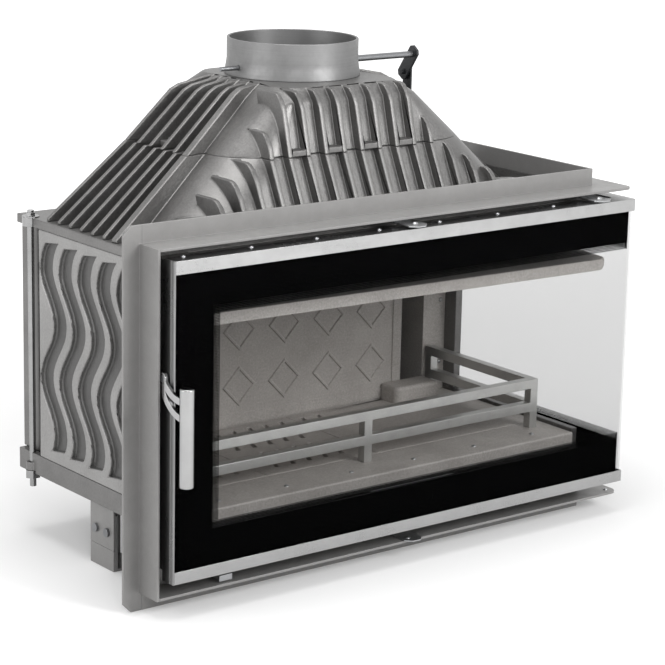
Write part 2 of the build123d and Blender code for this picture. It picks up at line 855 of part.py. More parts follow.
def dome_bolts():
    """Bolt heads on the seam's pads and on the damper's strip."""
    x, y = seam_bolt_place()
    low = seam_z + ledge_height
    head = hexagon_z(x, y, low, low + bolt_head, bolt_across)
    return group([head, mirrored_x(head), quadrant_bolt()])


def bolt_pads():
    """Pads of the upper casting that the seam bolts clamp."""
    x, y = seam_bolt_place()
    pad = block(x - 14, x + 22, y - pad_half_depth, y + pad_half_depth, seam_z, seam_z + ledge_height)
    return [pad, mirrored_x(pad)]


def quadrant_pad():
    """Boss of the upper casting that the damper's strip stands on."""
    x0 = quadrant_x
    half = quadrant_width / 2 + 2
    return block(x0 - 3 * wall, x0 + quadrant_toe, quadrant_y - half, quadrant_y + half, seam_z, quadrant_foot_z)


# ---------------------------------------------------------------- flue collar and damper
def flue_spigot():
    straight = rod_z(flue_x, flue_y, spigot_top - spigot_straight, spigot_top, spigot_radius)
    cone_height = spigot_height - spigot_straight
    cone = Pos(flue_x, flue_y, plateau_z + cone_height / 2) * Cone(spigot_foot_radius, spigot_radius, cone_height)
    ring = straight + cone
    ring -= rod_z(flue_x, flue_y, plateau_z, spigot_top, spigot_radius - spigot_wall)
    ring -= rod_x(flue_y, damper_z, flue_x, shaft_right, damper_shaft_radius + pivot_clearance)
    ring -= rod_x(flue_y, damper_z, shaft_left, flue_x, damper_stub_radius + pivot_clearance)
    return ring


def damper_shaft():
    step_x = flue_x - flap_radius + flap_thickness
    shaft = rod_x(flue_y, damper_z, step_x, shaft_right, damper_shaft_radius)
    shaft += rod_x(flue_y, damper_z, shaft_left, step_x, damper_stub_radius)
    for side in (-1, 1):
        shaft -= rod_z(
            flue_x + side * flap_radius / 2, flue_y, damper_z - damper_shaft_radius,
            damper_z + damper_shaft_radius, bolt_radius / 2,
        )
    return shaft


def damper_flap():
    low = damper_z + damper_shaft_radius
    disc = rod_z(flue_x, flue_y, low, low + flap_thickness, flap_radius)
    for side in (-1, 1):
        disc -= rod_z(flue_x + side * flap_radius / 2, flue_y, low, low + flap_thickness, bolt_radius / 2)
    return disc


def flap_bolts():
    bolts = []
    top = damper_z + damper_shaft_radius + flap_thickness
    for side in (-1, 1):
        x = flue_x + side * flap_radius / 2
        shank = rod_z(x, flue_y, damper_z - damper_shaft_radius - 2, top, bolt_radius / 2)
        bolts.append(shank + hexagon_z(x, flue_y, top, top + bolt_head / 2, flap_bolt_across))
    return group(bolts)


def damper_lever():
    """Flat lever clamped on the shaft's end, hanging down towards the back."""
    along = (cos(radians(lever_angle)), -sin(radians(lever_angle)))
    across = (-along[1], along[0])
    half = lever_width / 2

    def corner(reach, side):
        return (
            flue_y + along[0] * reach + across[0] * side,
            damper_z + along[1] * reach + across[1] * side,
        )

    cut = lever_corner
    points = [
        corner(-lever_up, -half + cut),
        corner(-lever_up + cut, -half),
        corner(lever_down - cut, -half),
        corner(lever_down, -half + cut),
        corner(lever_down, half - cut),
        corner(lever_down - cut, half),
        corner(-lever_up + cut, half),
        corner(-lever_up, half - cut),
    ]
    return slab_yz(points, shaft_right, shaft_right + lever_thickness) + lever_pin()


def lever_pin():
    """Riveted peg at the lever's lower end."""
    reach = lever_down - lever_width / 2
    y = flue_y + cos(radians(lever_angle)) * reach
    z = damper_z - sin(radians(lever_angle)) * reach
    return rod_x(y, z, shaft_right - bolt_head, shaft_right, bolt_radius)


def damper_quadrant():
    """Strip that stands on the dome beside the lever."""
    x0, x1 = quadrant_x, quadrant_x + quadrant_thickness
    half = quadrant_width / 2
    y0, y1 = quadrant_y - half, quadrant_y + half
    upright = block(x0, x1, y0, y1, quadrant_foot_z, quadrant_bolt_z + half)
    return upright + block(x0, x0 + quadrant_toe, y0, y1, quadrant_foot_z, quadrant_foot_z + quadrant_thickness)


def quadrant_bolt():
    x0 = quadrant_x + quadrant_thickness
    return rod_x(quadrant_y, quadrant_bolt_z, x0, x0 + bolt_head, bolt_head_radius - 1)


# ---------------------------------------------------------------- tie rods
def tie_rods():
    low = base_z + foot_nut_sunk - foot_nut_height - foot_rod_end
    high = top_plate_top + washer_thickness + nut_height + rod_end
    return group([rod_z(x, y, low, high, tie_radius) for x, y in tie_places()])


def tie_nuts():
    nuts = []
    seat = top_plate_top + washer_thickness
    foot = base_z + foot_nut_sunk
    for x, y in tie_places():
        stack = [
            hexagon_z(x, y, foot - foot_nut_height, foot, foot_nut_across),
            rod_z(x, y, top_plate_z, top_plate_top, barrel_radius),
            rod_z(x, y, top_plate_top, seat, washer_radius),
            hexagon_z(x, y, seat, seat + nut_height, nut_across),
        ]
        nuts += [piece - rod_z(x, y, base_z - foot_nut_height, seat + nut_height, tie_radius) for piece in stack]
    return group(nuts)


# ---------------------------------------------------------------- legs
def leg_places():
    """Outer face, inward direction and middle of each leg."""
    return [
        (body_left + leg_inset, 1, leg_front_y),
        (body_right - leg_sill_inset, -1, leg_front_y),
        (body_left + leg_back_inset, 1, leg_back_y),
        (body_right - leg_back_inset, -1, leg_back_y),
    ]


def span(x, way, start, end):
    """Ordered X limits measured inwards from an outer face."""
    a, b = x + way * start, x + way * end
    return min(a, b), max(a, b)


def leg_brackets():
    legs = []
    for x, way, y in leg_places():
        half = leg_width / 2
        x0, x1 = span(x, way, 0, sheet)
        plate = block(x0, x1, y - half, y + half, leg_drop_z + touch_gap, base_z)
        x0, x1 = span(x, way, 0, leg_flange)
        plate += block(x0, x1, y - half, y + half, base_z - sheet, base_z)
        x0, x1 = span(x, way, sheet, leg_flange)
        plate += block(x0, x1, y + half - sheet, y + half, leg_drop_z + touch_gap, base_z - sheet)
        for side in (-1, 1):
            x0, x1 = span(x, way, 0, sheet)
            plate -= rod_x(y + side * leg_bolt_pitch / 2, leg_bolt_z, x0, x1, bolt_radius)
        legs.append(plate)
    return group(legs)


def leg_feet():
    feet = []
    for x, way, y in leg_places():
        half = leg_width / 2
        x0, x1 = span(x, way, 0, sheet)
        foot = block(x0, x1, y - half, y + half, 0, leg_drop_z)
        x0, x1 = span(x, way, sheet, 2 * sheet)
        foot += block(x0, x1, y - half, y + half - sheet, 0, leg_drop_z + leg_tongue)
        x0, x1 = span(x, way, 0, leg_flange)
        foot += block(x0, x1, y - half, y + half, 0, sheet)
        foot += block(x0, x1, y + half - sheet, y + half, 0, leg_drop_z)
        for side in (-1, 1):
            x0, x1 = span(x, way, sheet, 2 * sheet)
            foot -= rod_x(y + side * leg_bolt_pitch / 2, leg_bolt_z, x0, x1, bolt_radius)
        feet.append(foot)
    return group(feet)


def leg_bolts():
    bolts = []
    for x, way, y in leg_places():
        for side in (-1, 1):
            bolt_y = y + side * leg_bolt_pitch / 2
            x0, x1 = span(x, way, 0, 2 * sheet)
            shank = rod_x(bolt_y, leg_bolt_z, x0, x1, bolt_radius)
            x0, x1 = span(x, way, -bolt_head, 0)
            head = rod_x(bolt_y, leg_bolt_z, x0, x1, bolt_head_radius)
            x0, x1 = span(x, way, 2 * sheet, 2 * sheet + bolt_head)
            nut = rod_x(bolt_y, leg_bolt_z, x0, x1, bolt_head_radius)
            bolts.append(shank + head + nut)
    return group(bolts)


# ---------------------------------------------------------------- hearth
def hearth_apron():
    """Front plate of the hearth with its turned-down edge."""
    left, right = neck_left + jamb_width + floor_gap, hearth_right
    plate = block(left, right, hearth_front, hearth_back - floor_gap, hearth_z - hearth_plate, hearth_z)
    plate += block(
        left, right, hearth_front, hearth_front + hearth_plate, hearth_z - hearth_skirt, hearth_z - hearth_plate
    )
    plate += block(left, right, neck_back + wall, neck_back + 2 * wall, base_z + base_floor, hearth_z - hearth_plate)
    for x in guard_posts_front():
        plate -= peg_socket(x, guard_y + guard_bar / 2)
    rim = plate.edges().filter_by(Axis.X).sort_by(Axis.Y)[:2].sort_by(Axis.Z)[-1]
    return fillet(rim, hearth_edge)


def guard_posts_front():
    middle = (guard_left + guard_right) / 2
    return [guard_left + guard_bar / 2, middle, guard_right - guard_bar / 2]


def peg_socket(x, y):
    half = guard_bar / 2 - peg_inset + touch_gap
    return block(x - half, x + half, y - half, y + half, hearth_z - guard_foot - touch_gap, hearth_z)


def slot_rows(x0, x1, y0, y1):
    """Air slots in staggered rows over a floor casting."""
    slots = []
    rows = int((y1 - y0) // slot_pitch_y)
    columns = int((x1 - x0) // slot_pitch_x)
    for r in range(rows):
        y = (y0 + y1) / 2 + (r - (rows - 1) / 2) * slot_pitch_y
        for c in range(columns - r % 2):
            x = (x0 + x1) / 2 + (c - (columns - r % 2 - 1) / 2) * slot_pitch_x
            bar = Box(slot_width, slot_length, hearth_z - floor_z)
            slots.append(Pos(x, y, (floor_z + hearth_z) / 2) * Rot(0, 0, slot_turn) * bar)
    return slots


def floor_left():
    x0, x1 = inner_left + liner + floor_gap, grate_left - floor_gap
    plate = block(x0, x1, hearth_back, floor_back - floor_gap, floor_z, hearth_z)
    for slot in slot_rows(x0 + wall, x1 - wall, hearth_back + wall, floor_back - wall):
        plate -= slot
    plate += block(x1, grate_right, grate_back + floor_gap, floor_back - floor_gap, floor_z, hearth_z)
    for slot in slot_rows(x1, grate_right, grate_back, floor_back):
        plate -= slot
    return plate


def floor_right():
    x0, x1 = grate_right + floor_gap, hearth_right
    plate = block(x0, x1, hearth_back, floor_back - floor_gap, floor_z, hearth_z)
    plate -= block(
        post_left - floor_gap, x1, post_front - floor_gap, floor_back, floor_z, hearth_z
    )
    plate -= peg_socket(guard_right - guard_bar / 2, guard_back - guard_bar / 2)
    for slot in slot_rows(x0, x0 + 2 * slot_pitch_x, grate_back, floor_back):
        plate -= slot
    return plate + corner_kerb()


def corner_kerb():
    """Rounded kerb between the back lining and the post of the glazed side."""
    kerb = block(
        kerb_left, post_left - floor_gap, kerb_front, liner_front - relief - touch_gap, hearth_z, hearth_z + kerb_height
    )
    corner = kerb.edges().filter_by(Axis.Z).sort_by(Axis.X)[:2].sort_by(Axis.Y)[0]
    kerb = fillet(corner, kerb_corner)
    top = kerb.faces().sort_by(Axis.Z)[-1].edges().sort_by(Axis.Y)[:1]
    return fillet(top, kerb_edge)


def grate():
    """Loose slotted casting over the ash well."""
    plate = block(grate_left, grate_right, hearth_back, grate_back, floor_z, hearth_z)
    for slot in slot_rows(grate_left + wall, grate_right - wall, hearth_back + wall, grate_back - wall):
        plate -= slot
    return plate


def apron_screws():
    heads = []
    for i in range(hearth_screws):
        x = hearth_screw_first + i * hearth_screw_pitch
        heads.append(dome_head_up(x, hearth_front + hearth_screw_inset, hearth_z, screw_radius, screw_head))
    return heads


def well_span():
    return grate_left + touch_gap, grate_right - touch_gap, hearth_back + wall + touch_gap, grate_back - wall - touch_gap


def ash_well():
    """Sheet box under the base that holds the ash pan."""
    x0, x1, y0, y1 = well_span()
    flange = wall
    top = base_z
    low = pan_bottom - touch_gap - well_wall
    box = block(x0 - flange, x1 + flange, y0 - flange, y1 + flange, top - well_wall, top)
    box += block(x0, x1, y0, y1, low, top)
    return box - block(x0 + well_wall, x1 - well_wall, y0 + well_wall, y1 - well_wall, low + well_wall, top)


def ash_pan():
    x0, x1, y0, y1 = well_span()
    gap = well_wall + 2 * touch_gap + pan_wall
    x0, x1, y0, y1 = x0 + gap, x1 - gap, y0 + gap, y1 - gap
    pan = block(x0, x1, y0, y1, pan_bottom, pan_bottom + pan_depth)
    return pan - block(
        x0 + pan_wall, x1 - pan_wall, y0 + pan_wall, y1 - pan_wall, pan_bottom + pan_wall, pan_bottom + pan_depth
    )


def log_guard():
    """Welded square-bar guard along the front and the glazed side."""
    y0, y1 = guard_y, guard_y + guard_bar
    bars = None
    for top in (guard_top_z, guard_low_z):
        front = block(guard_left, guard_right, y0, y1, top - guard_bar, top)
        side = block(guard_right - guard_bar, guard_right, y1, guard_back, top - guard_bar, top)
        bars = front + side if bars is None else bars + front + side
    peg = guard_bar / 2 - peg_inset
    posts = [(x, (y0 + y1) / 2) for x in guard_posts_front()]
    posts.append((guard_right - guard_bar / 2, guard_back - guard_bar / 2))
    half = guard_bar / 2
    for x, y in posts:
        bars += block(x - half, x + half, y - half, y + half, hearth_z, guard_top_z)
        bars += block(x - peg, x + peg, y - peg, y + peg, hearth_z - guard_foot, hearth_z)
    return bars


# ---------------------------------------------------------------- linings and baffles
def back_lining():
    left = inner_left + liner + floor_gap
    plate = block(left, liner_right, liner_front, liner_front + liner, hearth_z - floor_plate, liner_top)
    frame = block(
        left, liner_right, liner_front - relief, liner_front, hearth_z + relief, liner_top
    )
    frame -= block(
        left + liner_frame, liner_right - liner_frame, liner_front - relief, liner_front,
        hearth_z + relief + liner_frame, liner_top - liner_frame,
    )
    plate += frame
    x0, x1 = left + liner_frame, liner_right - liner_frame
    z0, z1 = hearth_z + relief + liner_frame, liner_top - liner_frame
    step_x, step_z = (x1 - x0) / lozenge_columns, (z1 - z0) / lozenge_rows
    for c in range(lozenge_columns):
        for r in range(lozenge_rows):
            x, z = x0 + (c + 0.5) * step_x, z0 + (r + 0.5) * step_z
            wide, tall = step_x * lozenge_share, step_z * lozenge_share
            plate += lozenge(x, z, wide, tall) - lozenge(x, z, wide - liner_frame / 3, tall - liner_frame / 3)
    return plate


def lozenge(x, z, wide, tall):
    """Low diamond on the face of the back lining."""
    points = [(x - wide, z), (x, z - tall), (x + wide, z), (x, z + tall)]
    return slab_xz(points, liner_front - relief, liner_front)


def left_lining():
    plate = block(
        inner_left, inner_left + liner, flange_back + floor_gap, lining_back, base_top, liner_top
    )
    foot = block(
        inner_left, inner_left + liner, flange_back + wall + floor_gap, floor_back - wall,
        base_z + base_floor, base_top,
    )
    ledge = block(
        inner_left + liner, inner_left + liner + lug, baffle_left_y + lug, baffle_back - lug,
        baffle_z - lug, baffle_z,
    )
    tilt = ledge.rotate(Axis((0, baffle_left_y, baffle_z), (1, 0, 0)), baffle_tilt)
    return plate + foot + tilt


def rear_post():
    """Cast lining of the back right corner, beside the glazed side."""
    right = body_right - wall
    front = block(post_left, right, post_front, post_front + liner, base_z + base_floor, liner_top)
    web = block(post_left, post_left + liner, post_front + liner, wall_back - wall, base_z + base_floor, liner_top)
    ledge = block(post_left + lug / 2, post_left + 3 * lug, post_front - lug, post_front, baffle_z - lug, baffle_z)
    tilt = ledge.rotate(Axis((0, baffle_left_y, baffle_z), (1, 0, 0)), baffle_tilt)
    tilt &= block(post_left, right, post_front - 2 * lug, post_front, baffle_z, liner_top)
    return front + web + tilt


def post_screws():
    x = post_screw_x
    heads = []
    reach = 2 * screw_radius
    for z in (post_screw_low_z, post_screw_high_z):
        ball = Pos(x, post_front, z) * Sphere(screw_radius)
        heads.append(ball & block(x - reach, x + reach, post_front - reach, post_front, z - reach, z + reach))
    return heads


def baffle():
    """Sloping smoke baffle whose front edge shows under the top band of the glass."""
    left = inner_left + liner + floor_gap
    outline = [
        (left, baffle_left_y),
        (baffle_right_x - 10, baffle_right_y),
        (baffle_right_x, baffle_right_y + 8),
        (baffle_right_x, baffle_back + lug),
        (post_left + 3 * lug, baffle_back + lug),
        (post_left + 3 * lug, post_front),
        (post_left + lug / 2, post_front),
        (post_left + lug / 2, baffle_back),
        (left, baffle_back),
    ]
    plate = slab_xy(outline, baffle_z, baffle_z + baffle_thickness)
    lip = plate.edges().filter_by(Plane.XY).sort_by(Axis.Y)[:2]
    plate = fillet(lip, baffle_edge)
    return plate.rotate(Axis((0, baffle_left_y, baffle_z), (1, 0, 0)), baffle_tilt)


def deflector():
    left = inner_left + liner + floor_gap
    right = body_right - 3 * wall - floor_gap
    return block(left, right, deflector_front, wall_back - wall - floor_gap, liner_top, liner_top + deflector_thickness)


# ---------------------------------------------------------------- air supply
def inlet_spigot():
    z0, z1 = base_z - inlet_length, base_z
    tube = rod_z(inlet_x, inlet_y, z0, z1, inlet_radius)
    return tube - rod_z(inlet_x, inlet_y, z0, z1, inlet_radius - inlet_wall)


def air_shutter():
    z1 = base_z - touch_gap
    z0 = z1 - shutter_thickness
    x0 = air_lever_x
    half = shutter_width / 2
    plate = block(x0, x0 + shutter_length, shutter_y - half, shutter_y + half, z0, z1)
    for place in air_slot_places():
        x = place - shutter_travel
        y0, y1 = shutter_y - air_slot / 2, shutter_y + air_slot / 2
        plate -= block(x - shutter_slot / 2, x + shutter_slot / 2, y0, y1, z0, z1)
    return plate


def shutter_guides():
    """Two angle rails under the base that carry the shutter."""
    rails = []
    z1 = base_z
    z0 = base_z - touch_gap * 2 - shutter_thickness
    half = shutter_width / 2 + touch_gap
    x0, x1 = air_lever_x - air_lever_width, air_lever_x + shutter_length + shutter_travel + air_lever_width
    for side in (-1, 1):
        y_in, y_out = shutter_y + side * half, shutter_y + side * (half + sheet)
        rail = block(x0, x1, min(y_in, y_out), max(y_in, y_out), z0 - trim, z1)
        y_toe = shutter_y + side * (half - guide_toe)
        rail += block(x0, x1, min(y_toe, y_out), max(y_toe, y_out), z0 - trim, z0)
        rails.append(rail)
    return group(rails)


def air_lever():
    """Bent strip whose tab shows below the sash; it hangs from the shutter."""
    x0, x1 = air_lever_x, air_lever_x + air_lever_width
    top = base_z - touch_gap - shutter_thickness
    y_up = shutter_y
    flat = block(x0, x1, air_lever_front, y_up, air_lever_z, air_lever_z + air_lever_thickness)
    riser = block(x0, x1, y_up, y_up + air_lever_thickness, air_lever_z, top)
    lip = block(x0, x1, air_lever_front, air_lever_front + air_lever_thickness, air_lever_z, air_lever_z + air_lever_lip)
    return flat + riser + lip


# ---------------------------------------------------------------- corner sash
def rail_section(y_low, y_high, z_edge, z_open):
    """Walls of a channel: front, outer edge and rear, in Y and Z."""
    step = trim if z_open > z_edge else -trim
    reach = rope if z_open > z_edge else -rope
    return [
        (y_low, y_low + trim, z_edge, z_open),
        (y_high - trim, y_high, z_edge, z_open + reach),
        (y_low, y_high, z_edge, z_edge + step),
    ]


def front_rail(z_edge, z_open):
    rail = None
    for y0, y1, z0, z1 in rail_section(sash_front, sash_rear, z_edge, z_open):
        x1 = sash_right if y0 == sash_front else side_inner + trim
        wall_box = block(sash_left, x1, y0, y1, min(z0, z1), max(z0, z1))
        rail = wall_box if rail is None else rail + wall_box
    step = trim if z_open > z_edge else -trim
    low, high = min(z_edge, z_edge + step), max(z_edge, z_edge + step)
    corner = block(side_inner, sash_right, sash_front, sash_rear, low, high)
    side = block(sash_right - trim, sash_right, sash_front, sash_rear, min(z_edge, z_open), max(z_edge, z_open))
    return rail + corner + side


def side_section(z_edge, z_open):
    """The same channel turned to the side: the taller wall is the inner one."""
    outer, inner = sash_right - side_sash, sash_right
    walls = rail_section(-inner, -outer, z_edge, z_open)
    return [(-high, -low, z0, z1) for low, high, z0, z1 in walls]


def side_rail(z_edge, z_open):
    rail = None
    y0, y1 = sash_rear, sash_back - hinge_block
    for a0, a1, z0, z1 in side_section(z_edge, z_open):
        wall_box = block(a0, a1, y0, y1, min(z0, z1), max(z0, z1))
        rail = wall_box if rail is None else rail + wall_box
    return rail


def sash_rail(z_edge, z_open):
    """Channel bent round the glass corner."""
    return front_rail(z_edge, z_open) + side_rail(z_edge, z_open)


def left_stile():
    outer = sash_left - stile_wall
    side = block(outer, sash_left, sash_front, sash_rear, sash_bottom, sash_top)
    side -= block(
        outer, outer + stile_groove, sash_front + 5 * stile_groove, sash_front + 7 * stile_groove, sash_bottom, sash_top
    )
    low, high = sash_bottom + bottom_rail + rope, sash_top - top_rail - rope
    back = block(sash_left, sash_left + stile_return, sash_rear - trim, sash_rear, low, high)
    window = 2 * hub_radius + 6
    back -= block(
        sash_left, sash_left + latch_inset + latch_thickness + 2, sash_rear - trim, sash_rear,
        pivot_z - window, pivot_z + window,
    )
    side -= rod_x(pivot_y, pivot_z, outer, sash_left, pivot_radius + pivot_clearance)
    return side + back


def side_glass_slot(z0, z1):
    """Groove that takes the rear edge of the side pane."""
    front = sash_back - hinge_block
    x0 = side_glass_right - glass - glass_setback
    return block(x0, side_glass_right + glass_setback, front, front + glass_groove, z0, z1)


def rear_stile():
    """Solid upright with a bore at each end for the hinge pins."""
    bar = block(side_inner, sash_right, sash_back - hinge_block, sash_back, sash_bottom, sash_top)
    bar -= side_glass_slot(sash_bottom + trim, sash_top - trim)
    hole = hinge_pin_radius + pivot_clearance
    deep = hinge_pin_reach + touch_gap
    bar -= rod_z(hinge_x, hinge_y, sash_bottom, sash_bottom + deep, hole)
    return bar - rod_z(hinge_x, hinge_y, sash_top - deep, sash_top, hole)


def hinge_pins():
    """Shouldered pins standing on the lower lip and hanging from the upper one."""
    low = rod_z(hinge_x, hinge_y, lip_over, sash_bottom - touch_gap, hinge_collar_radius)
    low += rod_z(hinge_x, hinge_y, sash_bottom - touch_gap, sash_bottom + hinge_pin_reach, hinge_pin_radius)
    high = rod_z(hinge_x, hinge_y, sash_top + touch_gap, lip_under, hinge_collar_radius)
    high += rod_z(hinge_x, hinge_y, sash_top - hinge_pin_reach, sash_top + touch_gap, hinge_pin_radius)
    return group([low, high])


def front_glass():
    y0 = glass_front
    return block(
        sash_left + glass_setback, side_glass_right, y0, y0 + glass,
        sash_bottom + trim + glass_setback, sash_top - trim - glass_setback,
    )


def side_glass():
    x1 = side_glass_right
    return block(
        x1 - glass, x1, glass_front + glass, sash_back - hinge_block + glass_groove - glass_setback,
        sash_bottom + trim + glass_setback, sash_top - trim - glass_setback,
    )


def glass_clamps():
    """Angle strips that press the panes against the rails."""
    strips = []
    y0, y1 = glass_front + glass, sash_rear - trim
    x0, x1 = sash_left + stile_return, side_inner - glass
    pane = side_glass_right - glass
    for edge, tip in ((sash_bottom + trim, sash_bottom + bottom_rail), (sash_top - trim, sash_top - top_rail)):
        step = edge + trim if tip > edge else edge - trim
        flat_low, flat_high = min(edge, step), max(edge, step)
        upright = block(x0, x1, y1 - trim, y1, min(edge, tip), max(edge, tip))
        strips.append(upright + block(x0, x1, y0, y1, flat_low, flat_high))
        strips.append(block(side_inner + trim, pane, sash_rear, sash_back - hinge_block, flat_low, flat_high))
    return group(strips)


def door_seal():
    """Rope round the back of the sash, just clear of the neck it is pressed against."""
    y0, y1 = sash_rear, neck_front - touch_gap
    low, high = sash_bottom + bottom_rail - rope - trim, sash_top - top_rail - rope
    left = sash_left + stile_return - rope
    x0, back = neck_right + touch_gap, sash_back - hinge_block
    return group([
        block(left, left + rope, y0, y1, low + rope, high),
        block(left, side_inner, y0, y1, high, high + rope),
        block(left, side_inner, y0, y1, low, low + rope),
        block(x0, side_inner, y1, back, high, high + rope),
        block(x0, side_inner, y1, back, low, low + rope),
        block(x0, side_inner, back, back + rope, low, high + rope),
    ])


def rail_screw_node():
    heads = []
    for i in range(rail_screws):
        x = sash_left + rail_screw_start + i * rail_screw_pitch
        heads.append(dome_head_up(x, sash_rear - rail_screw_inset, sash_top, screw_radius, screw_head))
    return group(heads)


# ---------------------------------------------------------------- handle and latch
def bow(points, width):
    """Closed outline of a curved strip that follows three points."""
    path = ThreePointArc(*points)
    outline = []
    steps = arm_steps
    for side in (1, -1):
        row = []
        for i in range(steps + 1):
            at = path @ (i / steps)
            way = path % (i / steps)
            row.append((at.X - side * way.Y * width / 2, at.Y + side * way.X * width / 2))
        outline += row if side == 1 else list(reversed(row))
    return outline


def handle_arm():
    """One curved plate with a slot in it, from the pivot to the grip."""
    reach = grip_y + grip_radius * 0.6
    x0, x1 = arm_left_x, arm_right_x
    plate = None
    for (start_y, start_z), (bulge_y, bulge_z), end_z in (upper_arm, lower_arm):
        points = [
            (pivot_y + start_y, pivot_z + start_z),
            (pivot_y + bulge_y, pivot_z + bulge_z),
            (reach, pivot_z + end_z),
        ]
        strip = slab_yz(bow(points, arm_width), x0, x1)
        plate = strip if plate is None else plate + strip
    plate += rod_x(pivot_y, pivot_z, x0, x1, hub_radius)
    plate -= rod_z(grip_x, grip_y, grip_low_z, grip_low_z + grip_length, grip_radius)
    plate -= rod_x(pivot_y, pivot_z, x0, x1, pivot_radius)
    return plate


def handle_grip():
    grip = rod_z(grip_x, grip_y, grip_low_z, grip_low_z + grip_length, grip_radius)
    ends = grip.edges().filter_by(GeomType.CIRCLE)
    return fillet(ends, 2.5)


def latch_shaft():
    x1 = sash_left + latch_inset + latch_thickness
    shaft = rod_x(pivot_y, pivot_z, arm_left_x, x1, pivot_radius)
    return shaft


def latch_hook():
    """Arm behind the stile that swings down from under its keeper when the handle is lifted."""
    x0 = sash_left + latch_inset
    x1 = x0 + latch_thickness
    ring = rod_x(pivot_y, pivot_z, x0, x1, hub_radius)
    under = pivot_z - keeper_radius - latch_play
    tip = pivot_y + keeper_offset + keeper_radius
    outline = [
        (pivot_y, under - latch_depth),
        (pivot_y + keeper_offset, under - latch_depth),
        (tip + 6, under - 4),
        (tip + 6, under),
        (pivot_y, under),
    ]
    return ring + slab_yz(outline, x0, x1) - rod_x(pivot_y, pivot_z, x0, x1, pivot_radius)


def latch_keeper():
    y = pivot_y + keeper_offset
    return rod_x(y, pivot_z, sash_left + latch_inset - 2, neck_left, keeper_radius)


# ---------------------------------------------------------------- clips on the lips
def clip_outline(x, front, back):
    half = clip_width / 2
    cut = clip_width / 3.4
    return [
        (x - half, back),
        (x - half, front + cut),
        (x - half + cut, front),
        (x + half - cut, front),
        (x + half, front + cut),
        (x + half, back),
    ]


def lip_clips():
    clips = []
    z0 = sash_top + clip_gap
    for x in clip_top_x:
        plate = slab_xy(clip_outline(x, clip_front, clip_riser_y), z0, z0 + clip_thickness)
        half = clip_width / 2
        plate += block(
            x - half, x + half, clip_riser_y - clip_thickness, clip_riser_y, z0, lip_under
        )
        plate += block(
            x - half, x + half, clip_riser_y, clip_back, lip_under - clip_thickness, lip_under
        )
        clips.append(plate)
    low = lip_over
    clips.append(slab_xy(clip_outline(clip_bottom_x, clip_bottom_front, clip_bottom_back), low, low + clip_thickness))
    return group(clips)


def clip_screws():
    heads = []
    for x in clip_top_x:
        z = sash_top + clip_gap + clip_thickness
        heads.append(dome_head_up(x + clip_screw_shift, clip_front + clip_screw_inset, z, screw_radius + 1, screw_head))
    z = lip_over + clip_thickness
    x, y = clip_bottom_x - 2 * clip_screw_shift, clip_bottom_front + clip_bottom_screw
    heads.append(dome_head_up(x, y, z, screw_radius + 1, screw_head))
    corner_x = lip_right - lip_corner
    heads.append(dome_head_up(corner_x, collar_front + lip_corner, lip_over, screw_radius, screw_head))
    return heads


# ---------------------------------------------------------------- write every piece
def pieces():
    return {
        "frame_left_angle": frame_left_angle(),
        "frame_top_angle": front_angle(collar_top, frame_height) + side_angle(collar_top, frame_height),
        "frame_bottom_angle": front_angle(collar_bottom, 0.0) + side_angle(collar_bottom, 0.0),
        "frame_rear_angle": frame_rear_angle(),
        "base_casting": base_casting(),
        "left_wall": side_wall(),
        "back_wall": back_wall(),
        "right_wall": right_wall(),
        "left_jamb": left_jamb(),
        "neck_lintel": neck_lintel(),
        "neck_sill": neck_sill(),
        "top_casting": top_casting(),
        "dome_lower": dome_lower(),
        "dome_upper": dome_upper(),
        "port_covers": port_covers(),
        "dome_bolts": dome_bolts(),
        "flue_spigot": flue_spigot(),
        "damper_shaft": damper_shaft(),
        "damper_flap": damper_flap(),
        "flap_bolts": flap_bolts(),
        "damper_lever": damper_lever(),
        "damper_quadrant": damper_quadrant(),
        "tie_rods": tie_rods(),
        "tie_nuts": tie_nuts(),
        "leg_brackets": leg_brackets(),
        "leg_feet": leg_feet(),
        "leg_bolts": leg_bolts(),
        "hearth_apron": hearth_apron(),
        "floor_left": floor_left(),
        "floor_right": floor_right(),
        "grate": grate(),
        "ash_well": ash_well(),
        "ash_pan": ash_pan(),
        "log_guard": log_guard(),
        "back_lining": back_lining(),
        "left_lining": left_lining(),
        "rear_post": rear_post(),
        "baffle": baffle(),
        "deflector": deflector(),
        "inlet_spigot": inlet_spigot(),
        "air_shutter": air_shutter(),
        "shutter_guides": shutter_guides(),
        "air_lever": air_lever(),
        "sash_top_rail": sash_rail(sash_top, sash_top - top_rail),
        "sash_bottom_rail": sash_rail(sash_bottom, sash_bottom + bottom_rail),
        "sash_left_stile": left_stile(),
        "sash_rear_stile": rear_stile(),
        "hinge_pins": hinge_pins(),
        "front_glass": front_glass(),
        "side_glass": side_glass(),
        "glass_clamps": glass_clamps(),
        "door_seal": door_seal(),
        "rail_screws": rail_screw_node(),
        "handle_arm": handle_arm(),
        "handle_grip": handle_grip(),
        "latch_shaft": latch_shaft(),
        "latch_hook": latch_hook(),
        "latch_keeper": latch_keeper(),
        "lip_clips": lip_clips(),
        "panel_screws": group(apron_screws() + clip_screws() + post_screws()),
    }


os.makedirs("parts", exist_ok=True)
for name, shape in pieces().items():
    export_step(shape, os.path.join("parts", name + ".step"))
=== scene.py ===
"""Looks of a cast-iron fireplace insert with a front pane and a right-hand side pane in one corner sash.

Metres.  X runs to the right, Y to the back, Z up; the floor is at Z = 0.  Sizes in the classes of the
object are in millimetres, as on a maker's drawing, and mm() turns them to metres.
"""

import json
import logging
import math
from dataclasses import dataclass
from enum import Enum
from typing import Any

import bmesh
import bpy
from mathutils import Matrix, Vector

